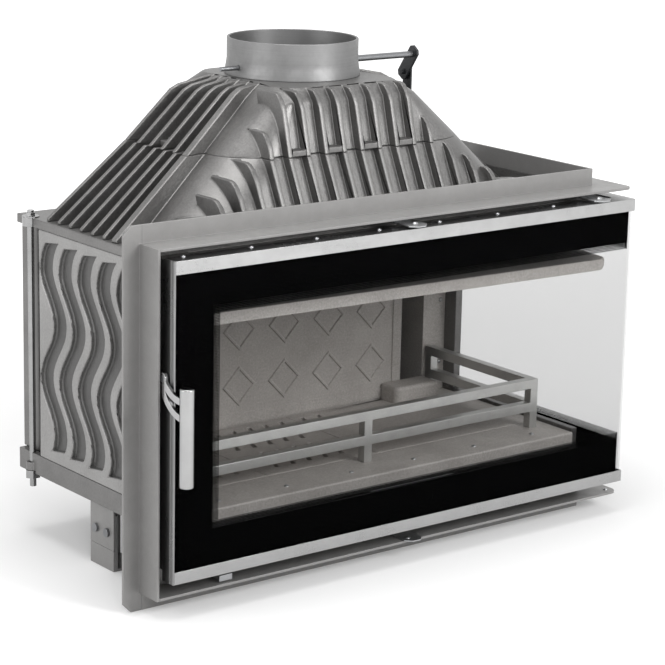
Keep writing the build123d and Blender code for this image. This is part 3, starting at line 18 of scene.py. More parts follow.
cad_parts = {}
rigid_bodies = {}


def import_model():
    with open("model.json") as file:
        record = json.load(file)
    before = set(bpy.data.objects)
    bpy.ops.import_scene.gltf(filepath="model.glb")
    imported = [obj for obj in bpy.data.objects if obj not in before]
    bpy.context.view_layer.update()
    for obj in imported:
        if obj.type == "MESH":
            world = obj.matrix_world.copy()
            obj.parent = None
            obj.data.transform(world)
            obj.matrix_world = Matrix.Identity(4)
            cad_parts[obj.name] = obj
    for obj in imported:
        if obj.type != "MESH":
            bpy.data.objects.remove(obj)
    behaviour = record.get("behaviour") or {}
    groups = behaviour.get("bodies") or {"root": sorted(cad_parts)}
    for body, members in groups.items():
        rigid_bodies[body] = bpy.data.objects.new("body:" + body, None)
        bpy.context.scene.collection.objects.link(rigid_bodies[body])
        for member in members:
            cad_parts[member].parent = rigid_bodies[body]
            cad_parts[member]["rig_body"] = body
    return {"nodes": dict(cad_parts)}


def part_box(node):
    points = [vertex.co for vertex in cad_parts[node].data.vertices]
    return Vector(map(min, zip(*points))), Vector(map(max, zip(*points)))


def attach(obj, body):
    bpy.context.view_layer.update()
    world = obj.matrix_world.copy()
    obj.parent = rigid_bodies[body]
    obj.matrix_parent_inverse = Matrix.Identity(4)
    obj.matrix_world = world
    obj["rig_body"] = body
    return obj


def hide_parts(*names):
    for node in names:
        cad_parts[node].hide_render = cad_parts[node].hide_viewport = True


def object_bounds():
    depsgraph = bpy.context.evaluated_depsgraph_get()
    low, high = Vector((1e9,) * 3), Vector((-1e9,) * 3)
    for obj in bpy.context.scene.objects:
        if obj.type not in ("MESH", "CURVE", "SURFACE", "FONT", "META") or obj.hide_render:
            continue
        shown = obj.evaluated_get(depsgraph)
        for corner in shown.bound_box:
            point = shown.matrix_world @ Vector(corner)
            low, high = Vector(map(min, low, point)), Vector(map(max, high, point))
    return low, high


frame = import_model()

log = logging.getLogger("insert")
CAD_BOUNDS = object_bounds()


# ---------------------------------------------------------------- units and small helpers
def mm(value: float) -> float:
    """Millimetres to metres."""
    return value / 1000.0


def per_mm(size: float) -> float:
    """Texture scale at which one feature is size millimetres wide."""
    return 1000.0 / size


def linear(code: str) -> tuple[float, float, float, float]:
    """Turns an sRGB hex colour into linear RGBA.

    Args:
        code: six hex digits, with or without a leading hash.

    Returns:
        Red, green, blue and an alpha of 1, linear.
    """
    code = code.lstrip("#")
    parts = [int(code[i : i + 2], 16) / 255.0 for i in (0, 2, 4)]
    red, green, blue = [c / 12.92 if c <= 0.04045 else ((c + 0.055) / 1.055) ** 2.4 for c in parts]
    return (red, green, blue, 1.0)


def add_node(
    tree: bpy.types.NodeTree,
    kind: str,
    settings: dict[Any, Any] | None = None,
    links: dict[Any, bpy.types.NodeSocket] | None = None,
) -> bpy.types.Node:
    """Adds a node with its settings and the links that come into it.

    Args:
        tree: node tree that takes the node.
        kind: the node's type name.
        settings: values by input name or number, or by property name.
        links: source sockets by input name or number.

    Returns:
        The new node.
    """
    node = tree.nodes.new(kind)
    for key, value in (settings or {}).items():
        if isinstance(key, int) or key in node.inputs:
            node.inputs[key].default_value = value
        else:
            setattr(node, key, value)
    for key, source in (links or {}).items():
        tree.links.new(source, node.inputs[key])
    return node


def fresh_material(name: str) -> tuple[bpy.types.Material, bpy.types.NodeTree]:
    """Makes an empty node material.

    Args:
        name: name of the material.

    Returns:
        The material and its node tree, without nodes.
    """
    material = bpy.data.materials.new(name)
    material.use_nodes = True
    material.node_tree.nodes.clear()
    return material, material.node_tree


LINE_SCALE = 0.012         # scale of a pattern along its lines, which draws its grains out into them


class Streaks(Enum):
    """Direction of the fine lines that drawing or brushing leaves, as a pattern's scale along X, Y and Z."""

    NONE = (1.0, 1.0, 1.0)
    LEVEL = (LINE_SCALE, LINE_SCALE, 1.0)
    UPRIGHT = (1.0, 1.0, LINE_SCALE)


# ---------------------------------------------------------------- finishes
@dataclass(frozen=True)
class CastFinish:
    """Sand-cast iron under sprayed heat paint: a fine even grain, soft sheen and slightly cloudy tone."""

    name: str
    shade: str
    cloud: str
    roughness: float
    metallic: float
    grain_mm: float = 3.2
    grain_low: float = 0.3         # noise values between which the grain runs
    grain_high: float = 0.7
    fleck_dark: float = 0.82       # share of the tone on its low spots
    fleck_bright: float = 1.14     # and on its high ones
    pit_mm: float = 4.8
    cloud_mm: float = 85.0
    bump_mm: float = 0.22
    smoother: float = 0.07         # how far the roughness falls on the low spots of the grain
    rougher: float = 0.09          # and how far it rises on the high ones
    painted_shade_start: float = 0.0      # X where the painted shade starts to darken the tone, in metres
    painted_shade_floor: float = 0.0      # X where the painted shade is darkest, in metres
    painted_shade_tone: float = 0.36      # share of the tone that the painted shade leaves there

    def build(self) -> bpy.types.Material:
        """Makes the material.

        Returns:
            Material whose tone, roughness and relief come from noise in object coordinates.
        """
        material, tree = fresh_material(self.name)
        place = add_node(tree, "ShaderNodeTexCoord").outputs["Object"]
        cloud = add_node(
            tree, "ShaderNodeTexNoise", {"Scale": per_mm(self.cloud_mm), "Detail": 5.0, "Roughness": 0.6},
            {"Vector": place},
        )
        # The real grain is finer than a millimetre; it is drawn as coarse as it needs to show.
        grain = add_node(
            tree, "ShaderNodeTexNoise", {"Scale": per_mm(self.grain_mm), "Detail": 3.0, "Roughness": 0.65},
            {"Vector": place},
        )
        pits = add_node(
            tree, "ShaderNodeTexVoronoi", {"Scale": per_mm(self.pit_mm), "Randomness": 1.0},
            {"Vector": place},
        )
        share = add_node(
            tree, "ShaderNodeMapRange", {"From Min": 0.35, "From Max": 0.68},
            {"Value": cloud.outputs["Fac"]},
        )
        fleck = add_node(
            tree, "ShaderNodeMapRange",
            {
                "From Min": self.grain_low, "From Max": self.grain_high,
                "To Min": self.fleck_dark, "To Max": self.fleck_bright,
            },
            {"Value": grain.outputs["Fac"]},
        )
        tone = add_node(
            tree, "ShaderNodeMix", {"data_type": "RGBA", 6: linear(self.shade), 7: linear(self.cloud)},
            {0: share.outputs["Result"]},
        )
        colour = add_node(
            tree, "ShaderNodeVectorMath", {"operation": "SCALE"},
            {0: tone.outputs[2], "Scale": fleck.outputs["Result"]},
        )
        # Painted shade: the tone darkens towards the floors of the grooves, set by X.
        if self.painted_shade_floor != self.painted_shade_start:
            colour = self.painted_groove_shade(tree, colour, place)
        rough = add_node(
            tree, "ShaderNodeMapRange",
            {
                "From Min": self.grain_low, "From Max": self.grain_high,
                "To Min": self.roughness - self.smoother, "To Max": self.roughness + self.rougher,
            },
            {"Value": grain.outputs["Fac"]},
        )
        pit_depth = add_node(
            tree, "ShaderNodeMapRange", {"From Min": 0.0, "From Max": 0.35, "To Min": 0.0, "To Max": 0.5},
            {"Value": pits.outputs["Distance"]},
        )
        relief = add_node(
            tree, "ShaderNodeMath", {"operation": "ADD"},
            {0: grain.outputs["Fac"], 1: pit_depth.outputs["Result"]},
        )
        bump = add_node(
            tree, "ShaderNodeBump", {"Strength": 0.55, "Distance": mm(self.bump_mm)},
            {"Height": relief.outputs[0]},
        )
        shader = add_node(
            tree, "ShaderNodeBsdfPrincipled", {"Metallic": self.metallic, "IOR": 1.5},
            {
                "Base Color": colour.outputs[0], "Roughness": rough.outputs["Result"],
                "Normal": bump.outputs["Normal"],
            },
        )
        add_node(tree, "ShaderNodeOutputMaterial", None, {"Surface": shader.outputs[0]})
        return material

    def painted_groove_shade(
        self, tree: bpy.types.NodeTree, colour: bpy.types.Node, place: bpy.types.NodeSocket
    ) -> bpy.types.Node:
        """Paints shade into the tone, darker towards the floors of the grooves.

        Args:
            tree: node tree that takes the nodes.
            colour: node whose first output is the tone.
            place: object coordinates.

        Returns:
            Node whose first output is the tone with the painted shade.
        """
        split = add_node(tree, "ShaderNodeSeparateXYZ", None, {0: place})
        depth = add_node(
            tree, "ShaderNodeMapRange",
            {
                "From Min": self.painted_shade_start, "From Max": self.painted_shade_floor,
                "To Min": 1.0, "To Max": self.painted_shade_tone,
            },
            {"Value": split.outputs[0]},
        )
        return add_node(
            tree, "ShaderNodeVectorMath", {"operation": "SCALE"},
            {0: colour.outputs[0], "Scale": depth.outputs["Result"]},
        )


@dataclass(frozen=True)
class SteelFinish:
    """Steel sheet, bar or strip: a fine grain, or drawn or brushed lines, and faint marks of handling."""

    name: str
    shade: str
    streak_shade: str
    roughness: float
    metallic: float
    streaks: Streaks = Streaks.NONE
    streak_mm: float = 1.4
    bump_mm: float = 0.03
    contrast: float = 0.35
    mark_mm: float = 48.0
    smooth_share: float = 0.82     # roughness where the lines are smoothest, as a share of the whole
    dull_share: float = 1.2        # and where they are dullest

    def build(self) -> bpy.types.Material:
        """Makes the material.

        Returns:
            Material whose tone, roughness and relief follow the grain or the lines.
        """
        material, tree = fresh_material(self.name)
        place = add_node(tree, "ShaderNodeTexCoord").outputs["Object"]
        stretch = add_node(tree, "ShaderNodeMapping", {"Scale": self.streaks.value}, {"Vector": place})
        lines = add_node(
            tree, "ShaderNodeTexNoise", {"Scale": per_mm(self.streak_mm), "Detail": 2.0, "Roughness": 0.7},
            {"Vector": stretch.outputs[0]},
        )
        marks = add_node(
            tree, "ShaderNodeTexNoise", {"Scale": per_mm(self.mark_mm), "Detail": 6.0, "Roughness": 0.7},
            {"Vector": place},
        )
        level = add_node(
            tree, "ShaderNodeMath", {"operation": "MULTIPLY_ADD", 1: self.contrast},
            {0: lines.outputs["Fac"], 2: marks.outputs["Fac"]},
        )
        share = add_node(
            tree, "ShaderNodeMapRange", {"From Min": 0.45, "From Max": 0.9},
            {"Value": level.outputs[0]},
        )
        tone = add_node(
            tree, "ShaderNodeMix",
            {"data_type": "RGBA", 6: linear(self.shade), 7: linear(self.streak_shade)},
            {0: share.outputs["Result"]},
        )
        rough = add_node(
            tree, "ShaderNodeMapRange",
            {"To Min": self.roughness * self.smooth_share, "To Max": self.roughness * self.dull_share},
            {"Value": share.outputs["Result"]},
        )
        bump = add_node(
            tree, "ShaderNodeBump", {"Strength": 0.4, "Distance": mm(self.bump_mm)},
            {"Height": lines.outputs["Fac"]},
        )
        shader = add_node(
            tree, "ShaderNodeBsdfPrincipled", {"Metallic": self.metallic},
            {
                "Base Color": tone.outputs[2], "Roughness": rough.outputs["Result"],
                "Normal": bump.outputs["Normal"],
            },
        )
        add_node(tree, "ShaderNodeOutputMaterial", None, {"Surface": shader.outputs[0]})
        return material


@dataclass(frozen=True)
class PaneFinish:
    """Clear ceramic glass, drawn flat: mirrors the studio at a slant and hardly tints what is behind."""

    name: str
    tint: str = "#f6f6f6"
    mirror: str = "#262626"        # the studio shows only faintly in it, as through a polarising filter
    ior: float = 1.5
    roughness: float = 0.0
    smear_mm: float = 160.0
    smear_gloss: float = 0.02      # roughness that wiping adds

    def build(self) -> bpy.types.Material:
        """Makes the material.

        Returns:
            See-through film with a mirror layer that grows towards grazing angles.
        """
        material, tree = fresh_material(self.name)
        place = add_node(tree, "ShaderNodeTexCoord").outputs["Object"]
        smear = add_node(
            tree, "ShaderNodeTexNoise", {"Scale": per_mm(self.smear_mm), "Detail": 3.0}, {"Vector": place}
        )
        rough = add_node(
            tree, "ShaderNodeMapRange",
            {"To Min": self.roughness, "To Max": self.roughness + self.smear_gloss},
            {"Value": smear.outputs["Fac"]},
        )
        through = add_node(tree, "ShaderNodeBsdfTransparent", {"Color": linear(self.tint)})
        mirror = add_node(
            tree, "ShaderNodeBsdfGlossy", {"Color": linear(self.mirror)},
            {"Roughness": rough.outputs["Result"]},
        )
        side = add_node(tree, "ShaderNodeNewGeometry").outputs["Backfacing"]
        # Light leaves the pane unbent here, so its inner face mirrors as little as its outer one.
        ratio = add_node(
            tree, "ShaderNodeMapRange", {"To Min": self.ior, "To Max": 1.0 / self.ior}, {"Value": side}
        )
        edge = add_node(tree, "ShaderNodeFresnel", None, {"IOR": ratio.outputs["Result"]})
        mixed = add_node(
            tree, "ShaderNodeMixShader", None,
            {0: edge.outputs[0], 1: through.outputs[0], 2: mirror.outputs[0]},
        )
        add_node(tree, "ShaderNodeOutputMaterial", None, {"Surface": mixed.outputs[0]})
        return material


@dataclass(frozen=True)
class PrintFinish:
    """Black ceramic enamel fired on the inner face of the glass: dense, its gloss left to the pane."""

    name: str
    shade: str = "#020202"
    roughness: float = 0.35
    mottle_mm: float = 30.0
    gloss_change: float = 0.05
    dot_radius: float = 0.5        # beside the solid print, as a share of the pitch
    last_radius: float = 0.42      # at the clear glass

    def build(self) -> bpy.types.Material:
        """Makes the solid print.

        Returns:
            Even near-black material with a slightly mottled roughness.
        """
        material, tree = fresh_material(self.name)
        shader = self.enamel(tree)
        add_node(tree, "ShaderNodeOutputMaterial", None, {"Surface": shader.outputs[0]})
        return material

    def enamel(self, tree: bpy.types.NodeTree) -> bpy.types.Node:
        """Adds the enamel's own shader.

        Args:
            tree: node tree that takes it.

        Returns:
            The shader node.
        """
        place = add_node(tree, "ShaderNodeTexCoord").outputs["Object"]
        mottle = add_node(tree, "ShaderNodeTexNoise", {"Scale": per_mm(self.mottle_mm)}, {"Vector": place})
        rough = add_node(
            tree, "ShaderNodeMapRange",
            {"To Min": self.roughness - self.gloss_change, "To Max": self.roughness + self.gloss_change},
            {"Value": mottle.outputs["Fac"]},
        )
        return add_node(
            tree, "ShaderNodeBsdfPrincipled",
            {"Base Color": linear(self.shade), "IOR": 1.5, "Specular IOR Level": 0.0},
            {"Roughness": rough.outputs["Result"]},
        )

    def build_dots(
        self, axis: int, edge: float, low: float, high: float, fade: float, pitch: float
    ) -> bpy.types.Material:
        """Makes the printed edge that breaks up into dots.

        Args:
            axis: coordinate that runs across the pane, 0 for the front one and 1 for the side one.
            edge: where the solid print ends across the pane, in metres.
            low: upper edge of the lower band, in metres.
            high: lower edge of the upper band, in metres.
            fade: width of the dotted strip, in metres.
            pitch: distance between dots, in metres.

        Returns:
            Enamel whose alpha is a raster of dots that shrink away from the bands.
        """
        material, tree = fresh_material(self.name)
        place = add_node(tree, "ShaderNodeTexCoord").outputs["Object"]
        split = add_node(tree, "ShaderNodeSeparateXYZ", None, {0: place})
        across, up = split.outputs[axis], split.outputs[2]
        from_side = add_node(tree, "ShaderNodeMath", {"operation": "SUBTRACT", 1: edge}, {0: across})
        from_low = add_node(tree, "ShaderNodeMath", {"operation": "SUBTRACT", 1: low}, {0: up})
        from_high = add_node(tree, "ShaderNodeMath", {"operation": "SUBTRACT", 0: high}, {1: up})
        nearer = add_node(
            tree, "ShaderNodeMath", {"operation": "MINIMUM"},
            {0: from_low.outputs[0], 1: from_high.outputs[0]},
        )
        depth = add_node(
            tree, "ShaderNodeMath", {"operation": "MINIMUM"}, {0: nearer.outputs[0], 1: from_side.outputs[0]}
        )
        radius = add_node(
            tree, "ShaderNodeMapRange",
            {"From Min": 0.0, "From Max": fade, "To Min": self.dot_radius, "To Max": self.last_radius},
            {"Value": depth.outputs[0]},
        )
        cells = []
        for source in (across, up):
            scaled = add_node(tree, "ShaderNodeMath", {"operation": "DIVIDE", 1: pitch}, {0: source})
            part = add_node(tree, "ShaderNodeMath", {"operation": "FRACT"}, {0: scaled.outputs[0]})
            centred = add_node(
                tree, "ShaderNodeMath", {"operation": "SUBTRACT", 1: 0.5}, {0: part.outputs[0]}
            )
            cells.append(centred.outputs[0])
        offset = add_node(tree, "ShaderNodeCombineXYZ", None, {0: cells[0], 1: cells[1]})
        reach = add_node(tree, "ShaderNodeVectorMath", {"operation": "LENGTH"}, {0: offset.outputs[0]})
        dot = add_node(
            tree, "ShaderNodeMath", {"operation": "LESS_THAN"},
            {0: reach.outputs["Value"], 1: radius.outputs["Result"]},
        )
        shader = self.enamel(tree)
        tree.links.new(dot.outputs[0], shader.inputs["Alpha"])
        add_node(tree, "ShaderNodeOutputMaterial", None, {"Surface": shader.outputs[0]})
        return material


@dataclass(frozen=True)
class RopeFinish:
    """Knitted glass-fibre rope: short plaited loops, matt, a little darker between them."""

    name: str
    shade: str = "#8b8780"
    gap: str = "#3d3a36"
    stitch_mm: float = 2.2
    bump_mm: float = 0.5

    def build(self) -> bpy.types.Material:
        """Makes the material.

        Returns:
            Cloth-like material with a cell pattern for the knit.
        """
        material, tree = fresh_material(self.name)
        place = add_node(tree, "ShaderNodeTexCoord").outputs["Object"]
        stitch = add_node(
            tree, "ShaderNodeTexVoronoi", {"Scale": per_mm(self.stitch_mm), "Randomness": 0.35},
            {"Vector": place},
        )
        tone = add_node(
            tree, "ShaderNodeMix", {"data_type": "RGBA", 6: linear(self.shade), 7: linear(self.gap)},
            {0: stitch.outputs["Distance"]},
        )
        bump = add_node(
            tree, "ShaderNodeBump", {"Strength": 0.8, "Distance": mm(self.bump_mm), "invert": True},
            {"Height": stitch.outputs["Distance"]},
        )
        shader = add_node(
            tree, "ShaderNodeBsdfPrincipled", {"Roughness": 0.92, "Sheen Weight": 0.25},
            {"Base Color": tone.outputs[2], "Normal": bump.outputs["Normal"]},
        )
        add_node(tree, "ShaderNodeOutputMaterial", None, {"Surface": shader.outputs[0]})
        return material


# Grey iron, sand-cast and sprayed with gunmetal heat paint: reads as one grey metal with a soft sheen.
CASTINGS = CastFinish("cast_iron_gunmetal_sprayed", "#7a7978", "#6b6a69", 0.38, 0.75)
# The side wall: painted shade darkens its tone towards the floors of its grooves.
WALL_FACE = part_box("left_wall")[0].x
GROOVED = CastFinish(
    "cast_iron_gunmetal_groove_shade_painted", "#969594", "#888786", 0.4, 0.5,
    painted_shade_start=WALL_FACE + mm(1.5), painted_shade_floor=WALL_FACE + mm(7.5),
)
# The same iron inside, bare of gloss: warmer and paler, because heat has dulled the spray.
LININGS = CastFinish("cast_iron_lining_warm_grey", "#b8b4b0", "#a8a4a0", 0.58, 0.1, bump_mm=0.18)
# Folded mild steel, sprayed satin grey: flat and even, with the fine grain of the spray.
FRAME_PAINT = SteelFinish("steel_sheet_satin_grey_paint", "#8c8b8a", "#828180", 0.42, 0.3, bump_mm=0.05)
# Rolled and welded flue collar in silver-grey heat paint: metallic, with faint level lines and a broad sheen.
COLLAR_PAINT = SteelFinish("steel_collar_silver_grey_paint", "#868686", "#7b7b7b", 0.45, 0.9, Streaks.LEVEL)
# Small levers and strips, blackened.
BLACK_STEEL = SteelFinish("steel_strip_blackened", "#3a3b3d", "#2c2d2f", 0.4, 0.6)
# Bare drawn steel of shafts, bolts, guides and the ash pan: half bright, with fine upright lines.
BAR_STEEL = SteelFinish("steel_bar_drawn_bare", "#8d8e90", "#77787a", 0.33, 0.9, Streaks.UPRIGHT)
# Stainless strip brushed along the rails: long soft highlights.
RAIL_STEEL = SteelFinish(
    "stainless_strip_brushed_along", "#a6a6a6", "#9a9a9a", 0.27, 1.0, Streaks.LEVEL, contrast=0.2
)
# The same strip, brushed upright on the stiles.
STILE_STEEL = SteelFinish("stainless_strip_brushed_upright", "#8e8e8e", "#808080", 0.3, 1.0, Streaks.UPRIGHT)
# Square stainless bar, ground satin.
GUARD_STEEL = SteelFinish("stainless_bar_ground_satin", "#c8c8c6", "#b6b6b4", 0.38, 0.85)
# Zinc-plated clips, screws and air lever: pale, slightly blue, half gloss.
ZINC = SteelFinish("steel_zinc_plated", "#b0b1b2", "#9c9d9f", 0.3, 0.95)
# Zinc-plated tie rods and their nuts: brighter, with fine lines along the rod.
ROD_ZINC = SteelFinish(
    "steel_rod_zinc_plated", "#9c9c9c", "#8c8c8c", 0.24, 1.0, Streaks.UPRIGHT, contrast=0.2
)
# Polished stainless grip and arm of the handle: the glossiest steel, with faint upright wipe marks.
POLISHED = SteelFinish("stainless_polished", "#a8a8a8", "#9c9c9c", 0.2, 1.0, Streaks.UPRIGHT, contrast=0.15)
PANE = PaneFinish("ceramic_glass_clear")
PRINT = PrintFinish("ceramic_enamel_black_print")
ROPE = RopeFinish("glass_fibre_rope_knitted")


class Library:
    """Makes each finish once and hands it out by name."""

    def __init__(self) -> None:
        """Starts with no material made."""
        self.made: dict[str, bpy.types.Material] = {}

    def get(self, finish: Any) -> bpy.types.Material:
        """Gives the material of a finish, made on first use.

        Args:
            finish: one of the finish dataclasses.

        Returns:
            Its material.
        """
        if finish.name not in self.made:
            self.made[finish.name] = finish.build()
        return self.made[finish.name]


LIBRARY = Library()


# ---------------------------------------------------------------- making pieces
JOIN_MM = 0.004            # points of a CAD node nearer than this are one point
FLAT_DEGREES = 0.4         # its faces that turn less than this are one face
WELD_MM = 0.01             # points that the rounding leaves nearer than this are one point


def dress(obj: bpy.types.Object, material: bpy.types.Material) -> None:
    """Gives an object one material.

    Args:
        obj: object to dress.
        material: its new material.
    """
    obj.data.materials.clear()
    obj.data.materials.append(material)


def finish_piece(
    bm: bmesh.types.BMesh,
    name: str,
    body: str,
    material: bpy.types.Material,
    replaced: tuple[str, ...] = (),
    sharp_angle: float = 38.0,
) -> bpy.types.Object:
    """Turns a bmesh into a piece of the object.

    Args:
        bm: the finished shape, in its place; it is freed here.
        name: piece name.
        body: CAD body that the piece moves with.
        material: its material.
        replaced: CAD nodes that the piece stands for.
        sharp_angle: degrees past which an edge is shaded as sharp.

    Returns:
        The new object.
    """
    mesh = bpy.data.meshes.new(name)
    for face in bm.faces:
        face.smooth = True
    bm.to_mesh(mesh)
    bm.free()
    mesh.set_sharp_from_angle(angle=math.radians(sharp_angle))
    obj = bpy.data.objects.new(name, mesh)
    bpy.context.scene.collection.objects.link(obj)
    dress(obj, material)
    level = obj.modifiers.new("level_faces", "WEIGHTED_NORMAL")
    level.keep_sharp = True
    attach(obj, body)
    if replaced:
        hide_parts(*replaced)
    log.info("%s rides on %s: %d faces", name, body, len(mesh.polygons))
    return obj


def body_of_node(node: str) -> str:
    """CAD body that a node belongs to."""
    return frame["nodes"][node]["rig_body"]


def merged_copy(node: str) -> bmesh.types.BMesh:
    """Copies a CAD node's loose triangles and joins them into flat faces.

    Args:
        node: name of the CAD node.

    Returns:
        The joined mesh.
    """
    bm = bmesh.new()
    bm.from_mesh(frame["nodes"][node].data)
    bmesh.ops.remove_doubles(bm, verts=bm.verts[:], dist=mm(JOIN_MM))
    bmesh.ops.dissolve_limit(
        bm, angle_limit=math.radians(FLAT_DEGREES), verts=bm.verts[:], edges=bm.edges[:],
        use_dissolve_boundaries=False,
    )
    return bm


@dataclass
class SoftEdged:
    """A CAD node shown with the small rounding that casting, folding or grinding leaves on its edges."""

    node: str
    finish: Any
    edge_mm: float
    slot: str
    segments: int = 2
    least_angle: float = 28.0

    def build(self) -> bpy.types.Object:
        """Copies the node, rounds its edges and dresses it.

        Returns:
            The piece that stands for the node.
        """
        bm = merged_copy(self.node)
        edges = [
            e for e in bm.edges if e.is_manifold and e.calc_face_angle(0.0) > math.radians(self.least_angle)
        ]
        bmesh.ops.bevel(
            bm, geom=edges, offset=mm(self.edge_mm), offset_type="OFFSET", segments=self.segments,
            profile=0.5, affect="EDGES", material=-1, clamp_overlap=False, miter_outer="SHARP",
        )
        bmesh.ops.remove_doubles(bm, verts=bm.verts[:], dist=mm(WELD_MM))
        return finish_piece(
            bm, self.node + "_finished", body_of_node(self.node), LIBRARY.get(self.finish),
            (self.node,),
        )


@dataclass
class Castings:
    """The iron castings of the firebox, the neck and the dome."""

    wall_edge: float = 2.4
    wall_segments: int = 3
    plate_edge: float = 1.2
    dome_edge: float = 1.6
    inner_edge: float = 0.8
    cover_edge: float = 0.6

    def build(self) -> None:
        """Builds the grooved wall with its wide rounding, then the other castings."""
        SoftEdged("left_wall", GROOVED, self.wall_edge, "castings", self.wall_segments).build()
        widths = {
            "base_casting": self.plate_edge,
            "top_casting": self.plate_edge,
            "back_wall": self.plate_edge,
            "right_wall": self.plate_edge,
            "dome_lower": self.dome_edge,
            "dome_upper": self.dome_edge,
            "port_covers": self.cover_edge,
            "left_jamb": self.inner_edge,
            "neck_lintel": self.inner_edge,
            "neck_sill": self.inner_edge,
        }
        for node, width in widths.items():
            SoftEdged(node, CASTINGS, width, "castings").build()


@dataclass
class Linings:
    """Castings inside the firebox: linings, floor, grate and baffles."""

    edge: float = 1.0

    def build(self) -> None:
        """Builds the castings inside the firebox."""
        for node in (
            "back_lining", "left_lining", "rear_post", "baffle", "deflector", "hearth_apron", "floor_left",
            "floor_right", "grate",
        ):
            SoftEdged(node, LININGS, self.edge, "linings").build()


@dataclass
class Steelwork:
    """Sheet, strip and bar of the frame, the sash, the legs and the small parts."""

    fold: float = 0.6
    strip: float = 0.4
    bar: float = 0.8
    collar: float = 0.9
    screw: float = 0.2

    def build(self) -> None:
        """Builds the steel pieces that keep their drawn shape."""
        jobs = [
            ("frame_left_angle", FRAME_PAINT, self.fold, "frame_steel"),
            ("frame_top_angle", FRAME_PAINT, self.fold, "frame_steel"),
            ("frame_bottom_angle", FRAME_PAINT, self.fold, "frame_steel"),
            ("frame_rear_angle", FRAME_PAINT, self.fold, "frame_steel"),
            ("flue_spigot", COLLAR_PAINT, self.collar, "collar_steel"),
            ("damper_shaft", BAR_STEEL, self.strip, "rod_steel"),
            ("damper_flap", BLACK_STEEL, self.strip, "dark_steel"),
            ("flap_bolts", ZINC, self.strip, "zinc"),
            ("damper_lever", BLACK_STEEL, self.strip, "dark_steel"),
            ("damper_quadrant", BLACK_STEEL, self.strip, "dark_steel"),
            ("dome_bolts", BAR_STEEL, self.strip, "rod_steel"),
            ("tie_rods", ROD_ZINC, self.strip, "rod_steel"),
            ("tie_nuts", ROD_ZINC, self.strip, "rod_steel"),
            ("leg_brackets", FRAME_PAINT, self.fold, "frame_steel"),
            ("leg_feet", FRAME_PAINT, self.fold, "frame_steel"),
            ("leg_bolts", BAR_STEEL, self.strip, "dark_steel"),
            ("inlet_spigot", FRAME_PAINT, self.fold, "frame_steel"),
            ("air_shutter", BAR_STEEL, self.strip, "rod_steel"),
            ("shutter_guides", BAR_STEEL, self.strip, "rod_steel"),
            ("air_lever", ZINC, self.strip, "zinc"),
            ("ash_well", BLACK_STEEL, self.strip, "dark_steel"),
            ("ash_pan", BAR_STEEL, self.strip, "rod_steel"),
            ("log_guard", GUARD_STEEL, self.bar, "guard_steel"),
            ("sash_top_rail", RAIL_STEEL, self.strip, "sash_steel"),
            ("sash_bottom_rail", RAIL_STEEL, self.strip, "sash_steel"),
            ("sash_left_stile", STILE_STEEL, self.strip, "sash_steel"),
            ("sash_rear_stile", STILE_STEEL, self.strip, "sash_steel"),
            ("hinge_pins", BAR_STEEL, self.strip, "rod_steel"),
            ("glass_clamps", BLACK_STEEL, self.strip, "dark_steel"),
            ("handle_arm", POLISHED, self.strip, "polished_steel"),
            ("handle_grip", POLISHED, self.strip, "polished_steel"),
            ("latch_shaft", BAR_STEEL, self.strip, "rod_steel"),
            ("latch_hook", BLACK_STEEL, self.strip, "dark_steel"),
            ("latch_keeper", BAR_STEEL, self.strip, "rod_steel"),
            ("lip_clips", ZINC, self.strip, "zinc"),
            ("rail_screws", ZINC, self.screw, "zinc"),
            ("panel_screws", ZINC, self.screw, "zinc"),
        ]
        for node, finish, width, slot in jobs:
            SoftEdged(node, finish, width, slot).build()


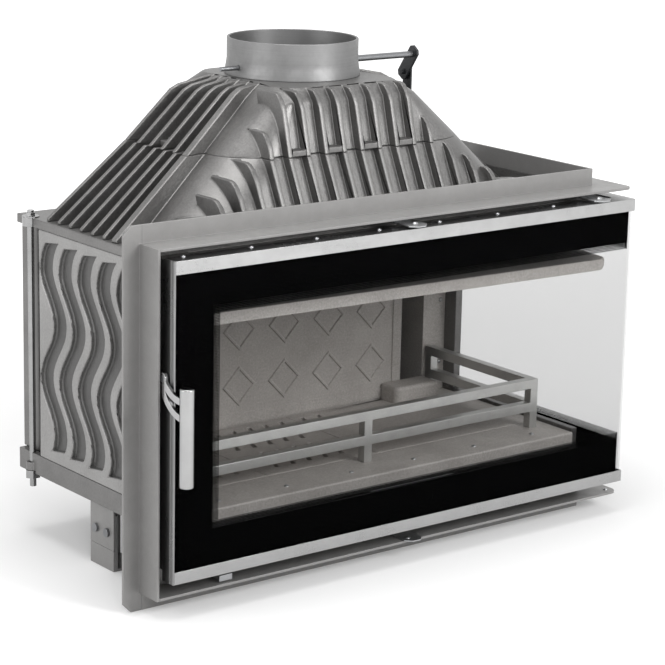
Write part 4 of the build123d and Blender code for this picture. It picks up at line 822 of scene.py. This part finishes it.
@dataclass
class Panes:
    """The two panes with the black print on their inner faces."""

    side_border: float = 66.0      # solid print along the left edge of the front pane
    band: float = 66.0             # solid print along the upper and lower edges
    fade: float = 11.0             # dotted strip inside the solid print
    dot_pitch: float = 2.2         # real dots are nearer a millimetre apart; drawn as coarse as they show
    film: float = 0.12             # thickness of the print
    gap: float = 0.08              # between the pane and the print
    edge: float = 0.6
    no_edge: float = 1000.0        # puts an edge that a print doesn't have well away from the pane
    match: float = 1.0             # a face this near to the middle of an open cell is that cell's

    def build(self) -> None:
        """Builds the panes and their print."""
        for node in ("front_glass", "side_glass"):
            SoftEdged(node, PANE, self.edge, "pane").build()
        front_low, front_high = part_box("front_glass")
        side_low, side_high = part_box("side_glass")
        corner = side_low.x - mm(self.gap + self.film)
        plane = front_high.y + mm(self.gap)
        self.front_print(front_low, Vector((corner, plane, front_high.z)))
        self.side_print(Vector((corner, plane + mm(self.film), side_low.z)), side_high)

    def front_print(self, low: Vector, high: Vector) -> None:
        """Prints the border of the front pane.

        Args:
            low: lower left corner of the pane.
            high: right end, printed plane and upper edge.
        """
        xs = [low.x, low.x + mm(self.side_border), high.x]
        zs = [low.z, low.z + mm(self.band), high.z - mm(self.band), high.z]
        bm = self.sheet(xs, zs, {(1, 1)}, high.y, 1)
        finish_piece(bm, "front_pane_print", "door", LIBRARY.get(PRINT), ())
        fade = mm(self.fade)
        inner_x = [xs[1], xs[1] + fade, high.x]
        inner_z = [zs[1], zs[1] + fade, zs[2] - fade, zs[2]]
        dots = PrintFinish("ceramic_enamel_dotted_front").build_dots(
            0, xs[1], zs[1], zs[2], fade, mm(self.dot_pitch)
        )
        bm = self.sheet(inner_x, inner_z, {(1, 1)}, high.y, 1)
        finish_piece(bm, "front_pane_print_edge", "door", dots, ())

    def side_print(self, low: Vector, high: Vector) -> None:
        """Prints the bands of the side pane.

        Args:
            low: printed plane, front end and lower edge.
            high: rear end and upper edge.
        """
        ys = [low.y, high.y]
        zs = [low.z, low.z + mm(self.band), high.z - mm(self.band), high.z]
        bm = self.sheet(ys, zs, {(0, 1)}, low.x, 0)
        finish_piece(bm, "side_pane_print", "door", LIBRARY.get(PRINT), ())
        fade = mm(self.fade)
        inner_z = [zs[1], zs[1] + fade, zs[2] - fade, zs[2]]
        dots = PrintFinish("ceramic_enamel_dotted_side").build_dots(
            1, low.y - mm(self.no_edge), zs[1], zs[2], fade, mm(self.dot_pitch)
        )
        bm = self.sheet(ys, inner_z, {(0, 1)}, low.x, 0)
        finish_piece(bm, "side_pane_print_edge", "door", dots, ())

    def sheet(
        self,
        across: list[float],
        up: list[float],
        open_cells: set[tuple[int, int]],
        plane: float,
        normal: int,
    ) -> bmesh.types.BMesh:
        """Makes a thin film in an upright plane with some cells left open.

        Args:
            across: cell borders across the pane.
            up: cell borders from bottom to top.
            open_cells: column and row of each cell without print.
            plane: where the film starts along its normal.
            normal: 1 for a film that faces the front, 0 for one that faces the side.

        Returns:
            The film, with its thickness.
        """
        bm = bmesh.new()
        columns, rows = len(across) - 1, len(up) - 1
        bmesh.ops.create_grid(bm, x_segments=columns, y_segments=rows, size=1.0)
        for vertex in bm.verts:
            i = round((vertex.co.x + 1.0) / 2.0 * columns)
            j = round((vertex.co.y + 1.0) / 2.0 * rows)
            vertex.co = (across[i], plane, up[j]) if normal == 1 else (plane, across[i], up[j])
        centres = [((across[i] + across[i + 1]) / 2, (up[j] + up[j + 1]) / 2) for i, j in open_cells]
        gone = []
        for face in bm.faces:
            middle = face.calc_center_median()
            flat = (middle.x if normal == 1 else middle.y, middle.z)
            if any(math.dist(flat, centre) < mm(self.match) for centre in centres):
                gone.append(face)
        bmesh.ops.delete(bm, geom=gone, context="FACES")
        thick = bmesh.ops.extrude_face_region(bm, geom=bm.faces[:])
        moved = [g for g in thick["geom"] if isinstance(g, bmesh.types.BMVert)]
        step = Vector((0.0, mm(self.film), 0.0)) if normal == 1 else Vector((mm(self.film), 0.0, 0.0))
        bmesh.ops.translate(bm, verts=moved, vec=step)
        bmesh.ops.recalc_face_normals(bm, faces=bm.faces[:])
        return bm


@dataclass
class SealRope:
    """Knitted rope laid in the back of the sash, round the front and the side opening."""

    radius: float = 2.7
    bar_half: float = 3.0          # half the thickness of the plain bars
    front_set: float = 0.15        # how far the front runs lie ahead of the bars' middle
    side_set: float = 0.8          # how far the right-hand runs lie inside it
    corner: float = 5.0
    corner_steps: int = 5
    section_steps: int = 3         # resolution of the round section

    def build(self) -> None:
        """Lays the rope where the plain bars of the seal are."""
        low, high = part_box("door_seal")
        half = mm(self.bar_half)
        front_y = low.y + half - mm(self.front_set)
        right = high.x - half - mm(self.side_set)
        back = high.y - half
        bottom, top = low.z + half, high.z - half
        left = low.x + half
        route = [
            Vector((left, front_y, bottom)),
            Vector((left, front_y, top)),
            Vector((right, front_y, top)),
            Vector((right, back, top)),
            Vector((right, back, bottom)),
            Vector((right, front_y, bottom)),
        ]
        curve = bpy.data.curves.new("seal_route", "CURVE")
        curve.dimensions = "3D"
        curve.bevel_depth = mm(self.radius)
        curve.bevel_resolution = self.section_steps
        spline = curve.splines.new("POLY")
        points = self.rounded(route)
        spline.points.add(len(points) - 1)
        for point, place in zip(spline.points, points):
            point.co = (*place, 1.0)
        spline.use_cyclic_u = True
        holder = bpy.data.objects.new("seal_route", curve)
        mesh = bpy.data.meshes.new_from_object(holder)
        bpy.data.objects.remove(holder)
        bm = bmesh.new()
        bm.from_mesh(mesh)
        finish_piece(bm, "door_seal_rope", "door", LIBRARY.get(ROPE), ("door_seal",))

    def rounded(self, route: list[Vector]) -> list[Vector]:
        """Rounds the corners of the closed route.

        Args:
            route: corner points in order.

        Returns:
            Points with a quarter arc at each corner.
        """
        points = []
        reach = mm(self.corner)
        for i, at in enumerate(route):
            before = (route[i - 1] - at).normalized()
            after = (route[(i + 1) % len(route)] - at).normalized()
            centre = at + (before + after) * reach
            for k in range(self.corner_steps + 1):
                turn = math.radians(90.0) * k / self.corner_steps
                points.append(centre - after * reach * math.cos(turn) - before * reach * math.sin(turn))
        return points


# ---------------------------------------------------------------- studio
def shown_rays(tree: bpy.types.NodeTree) -> bpy.types.NodeSocket:
    """Finds the rays that show the surroundings: straight, mirrored or through a pane.

    Args:
        tree: node tree that takes the nodes.

    Returns:
        Socket that is 1 for such a ray and 0 for one that only lights the object.
    """
    paths = add_node(tree, "ShaderNodeLightPath")
    seen = add_node(
        tree, "ShaderNodeMath", {"operation": "MAXIMUM"},
        {0: paths.outputs["Is Camera Ray"], 1: paths.outputs["Is Glossy Ray"]},
    )
    return add_node(
        tree, "ShaderNodeMath", {"operation": "MAXIMUM"},
        {0: seen.outputs[0], 1: paths.outputs["Is Transmission Ray"]},
    ).outputs[0]


@dataclass
class Studio:
    """White floor, bright surroundings, soft lamps and the camera, in metres, degrees and watts."""

    camera_at: tuple[float, float, float] = (-2.142, -2.769, 1.187)
    yaw: float = 37.96
    pitch: float = 14.03
    roll: float = 1.25
    lens: float = 128.3
    floor_size: float = 14.0
    floor_shade: str = "#e6e6e6"
    lift: float = 0.13              # glow of the floor near the object, where its shadow has to show
    far_lift: float = 0.75          # glow further off, where only white has to show
    near: float = 0.7               # metres from the origin where the glow starts to rise
    far: float = 3.0                # and where it is full
    surround: float = 0.62          # strength of the surroundings as light
    sensor: float = 36.0
    view_depth: float = 50.0

    def build(self) -> None:
        """Builds floor, world, lamps and camera."""
        self.floor()
        self.world()
        self.lamps()
        self.camera()
        bpy.context.scene.view_settings.view_transform = "Standard"

    def floor(self) -> None:
        """Lays a pale floor that shows white to the camera but keeps the shadow."""
        material, tree = fresh_material("studio_floor_matt_white")
        place = add_node(tree, "ShaderNodeTexCoord").outputs["Object"]
        away = add_node(tree, "ShaderNodeVectorMath", {"operation": "LENGTH"}, {0: place})
        lift = add_node(
            tree, "ShaderNodeMapRange",
            {"From Min": self.near, "From Max": self.far, "To Min": self.lift, "To Max": self.far_lift},
            {"Value": away.outputs["Value"]},
        )
        strength = add_node(
            tree, "ShaderNodeMath", {"operation": "MULTIPLY"},
            {0: shown_rays(tree), 1: lift.outputs["Result"]},
        )
        glow = add_node(
            tree, "ShaderNodeEmission", {"Color": linear("#ffffff")}, {"Strength": strength.outputs[0]}
        )
        matt = add_node(tree, "ShaderNodeBsdfDiffuse", {"Color": linear(self.floor_shade)})
        total = add_node(tree, "ShaderNodeAddShader", None, {0: matt.outputs[0], 1: glow.outputs[0]})
        add_node(tree, "ShaderNodeOutputMaterial", None, {"Surface": total.outputs[0]})
        bm = bmesh.new()
        bmesh.ops.create_grid(bm, x_segments=1, y_segments=1, size=self.floor_size / 2)
        mesh = bpy.data.meshes.new("studio_floor")
        bm.to_mesh(mesh)
        bm.free()
        floor = bpy.data.objects.new("studio_floor", mesh)
        bpy.context.scene.collection.objects.link(floor)
        dress(floor, material)

    def world(self) -> None:
        """Makes the surroundings white where seen or mirrored and softer as light."""
        world = bpy.data.worlds.new("studio_surround")
        world.use_nodes = True
        tree = world.node_tree
        tree.nodes.clear()
        strength = add_node(
            tree, "ShaderNodeMapRange", {"To Min": self.surround, "To Max": 1.0}, {"Value": shown_rays(tree)}
        )
        back = add_node(
            tree, "ShaderNodeBackground", {"Color": linear("#ffffff")},
            {"Strength": strength.outputs["Result"]},
        )
        add_node(tree, "ShaderNodeOutputWorld", None, {"Surface": back.outputs[0]})
        bpy.context.scene.world = world

    def lamps(self) -> None:
        """Hangs four soft boxes round the object."""
        self.soft_box("key_lamp", (0.9, -2.8, 1.75), (1.4, 1.2), 62.0)
        self.soft_box("front_lamp", (-1.9, -3.1, 1.95), (0.8, 0.8), 20.0)
        self.soft_box("left_lamp", (-3.0, 0.3, 1.5), (1.6, 1.2), 26.0)
        self.soft_box("top_lamp", (-0.3, 0.0, 2.9), (1.8, 1.4), 38.0)

    def soft_box(
        self, name: str, at: tuple[float, float, float], size: tuple[float, float], power: float
    ) -> None:
        """Hangs one soft box that faces the middle of the object.

        Args:
            name: lamp name.
            at: place of the lamp.
            size: width and height of its face.
            power: watts.
        """
        lamp = bpy.data.lights.new(name, "AREA")
        lamp.shape = "RECTANGLE"
        lamp.size, lamp.size_y = size
        lamp.energy = power
        obj = bpy.data.objects.new(name, lamp)
        bpy.context.scene.collection.objects.link(obj)
        low, high = CAD_BOUNDS
        middle = (Vector(low) + Vector(high)) / 2
        obj.location = at
        obj.rotation_euler = (middle - Vector(at)).to_track_quat("-Z", "Y").to_euler()

    def camera(self) -> None:
        """Puts the camera where the photograph was taken from."""
        yaw, pitch, roll = (math.radians(a) for a in (self.yaw, self.pitch, self.roll))
        ahead = Vector((math.sin(yaw) * math.cos(pitch), math.cos(yaw) * math.cos(pitch), -math.sin(pitch)))
        right = Vector((math.cos(yaw), -math.sin(yaw), 0.0))
        up = right.cross(ahead)
        turned_right = math.cos(roll) * right + math.sin(roll) * up
        turned_up = -math.sin(roll) * right + math.cos(roll) * up
        data = bpy.data.cameras.new("photograph_camera")
        data.sensor_width = self.sensor
        data.lens = self.lens
        data.clip_end = self.view_depth
        camera = bpy.data.objects.new("photograph_camera", data)
        bpy.context.scene.collection.objects.link(camera)
        turn = Matrix((turned_right, turned_up, -ahead)).transposed().to_4x4()
        camera.matrix_world = Matrix.Translation(self.camera_at) @ turn
        bpy.context.scene.camera = camera


def main() -> None:
    """Builds the sub-assemblies in order and reports them."""
    logging.basicConfig(level=logging.INFO, format="%(name)s: %(message)s")
    for assembly in (Castings(), Linings(), Steelwork(), Panes(), SealRope(), Studio()):
        assembly.build()
        log.info("%s done", type(assembly).__name__)


if __name__ == "__main__":
    main()
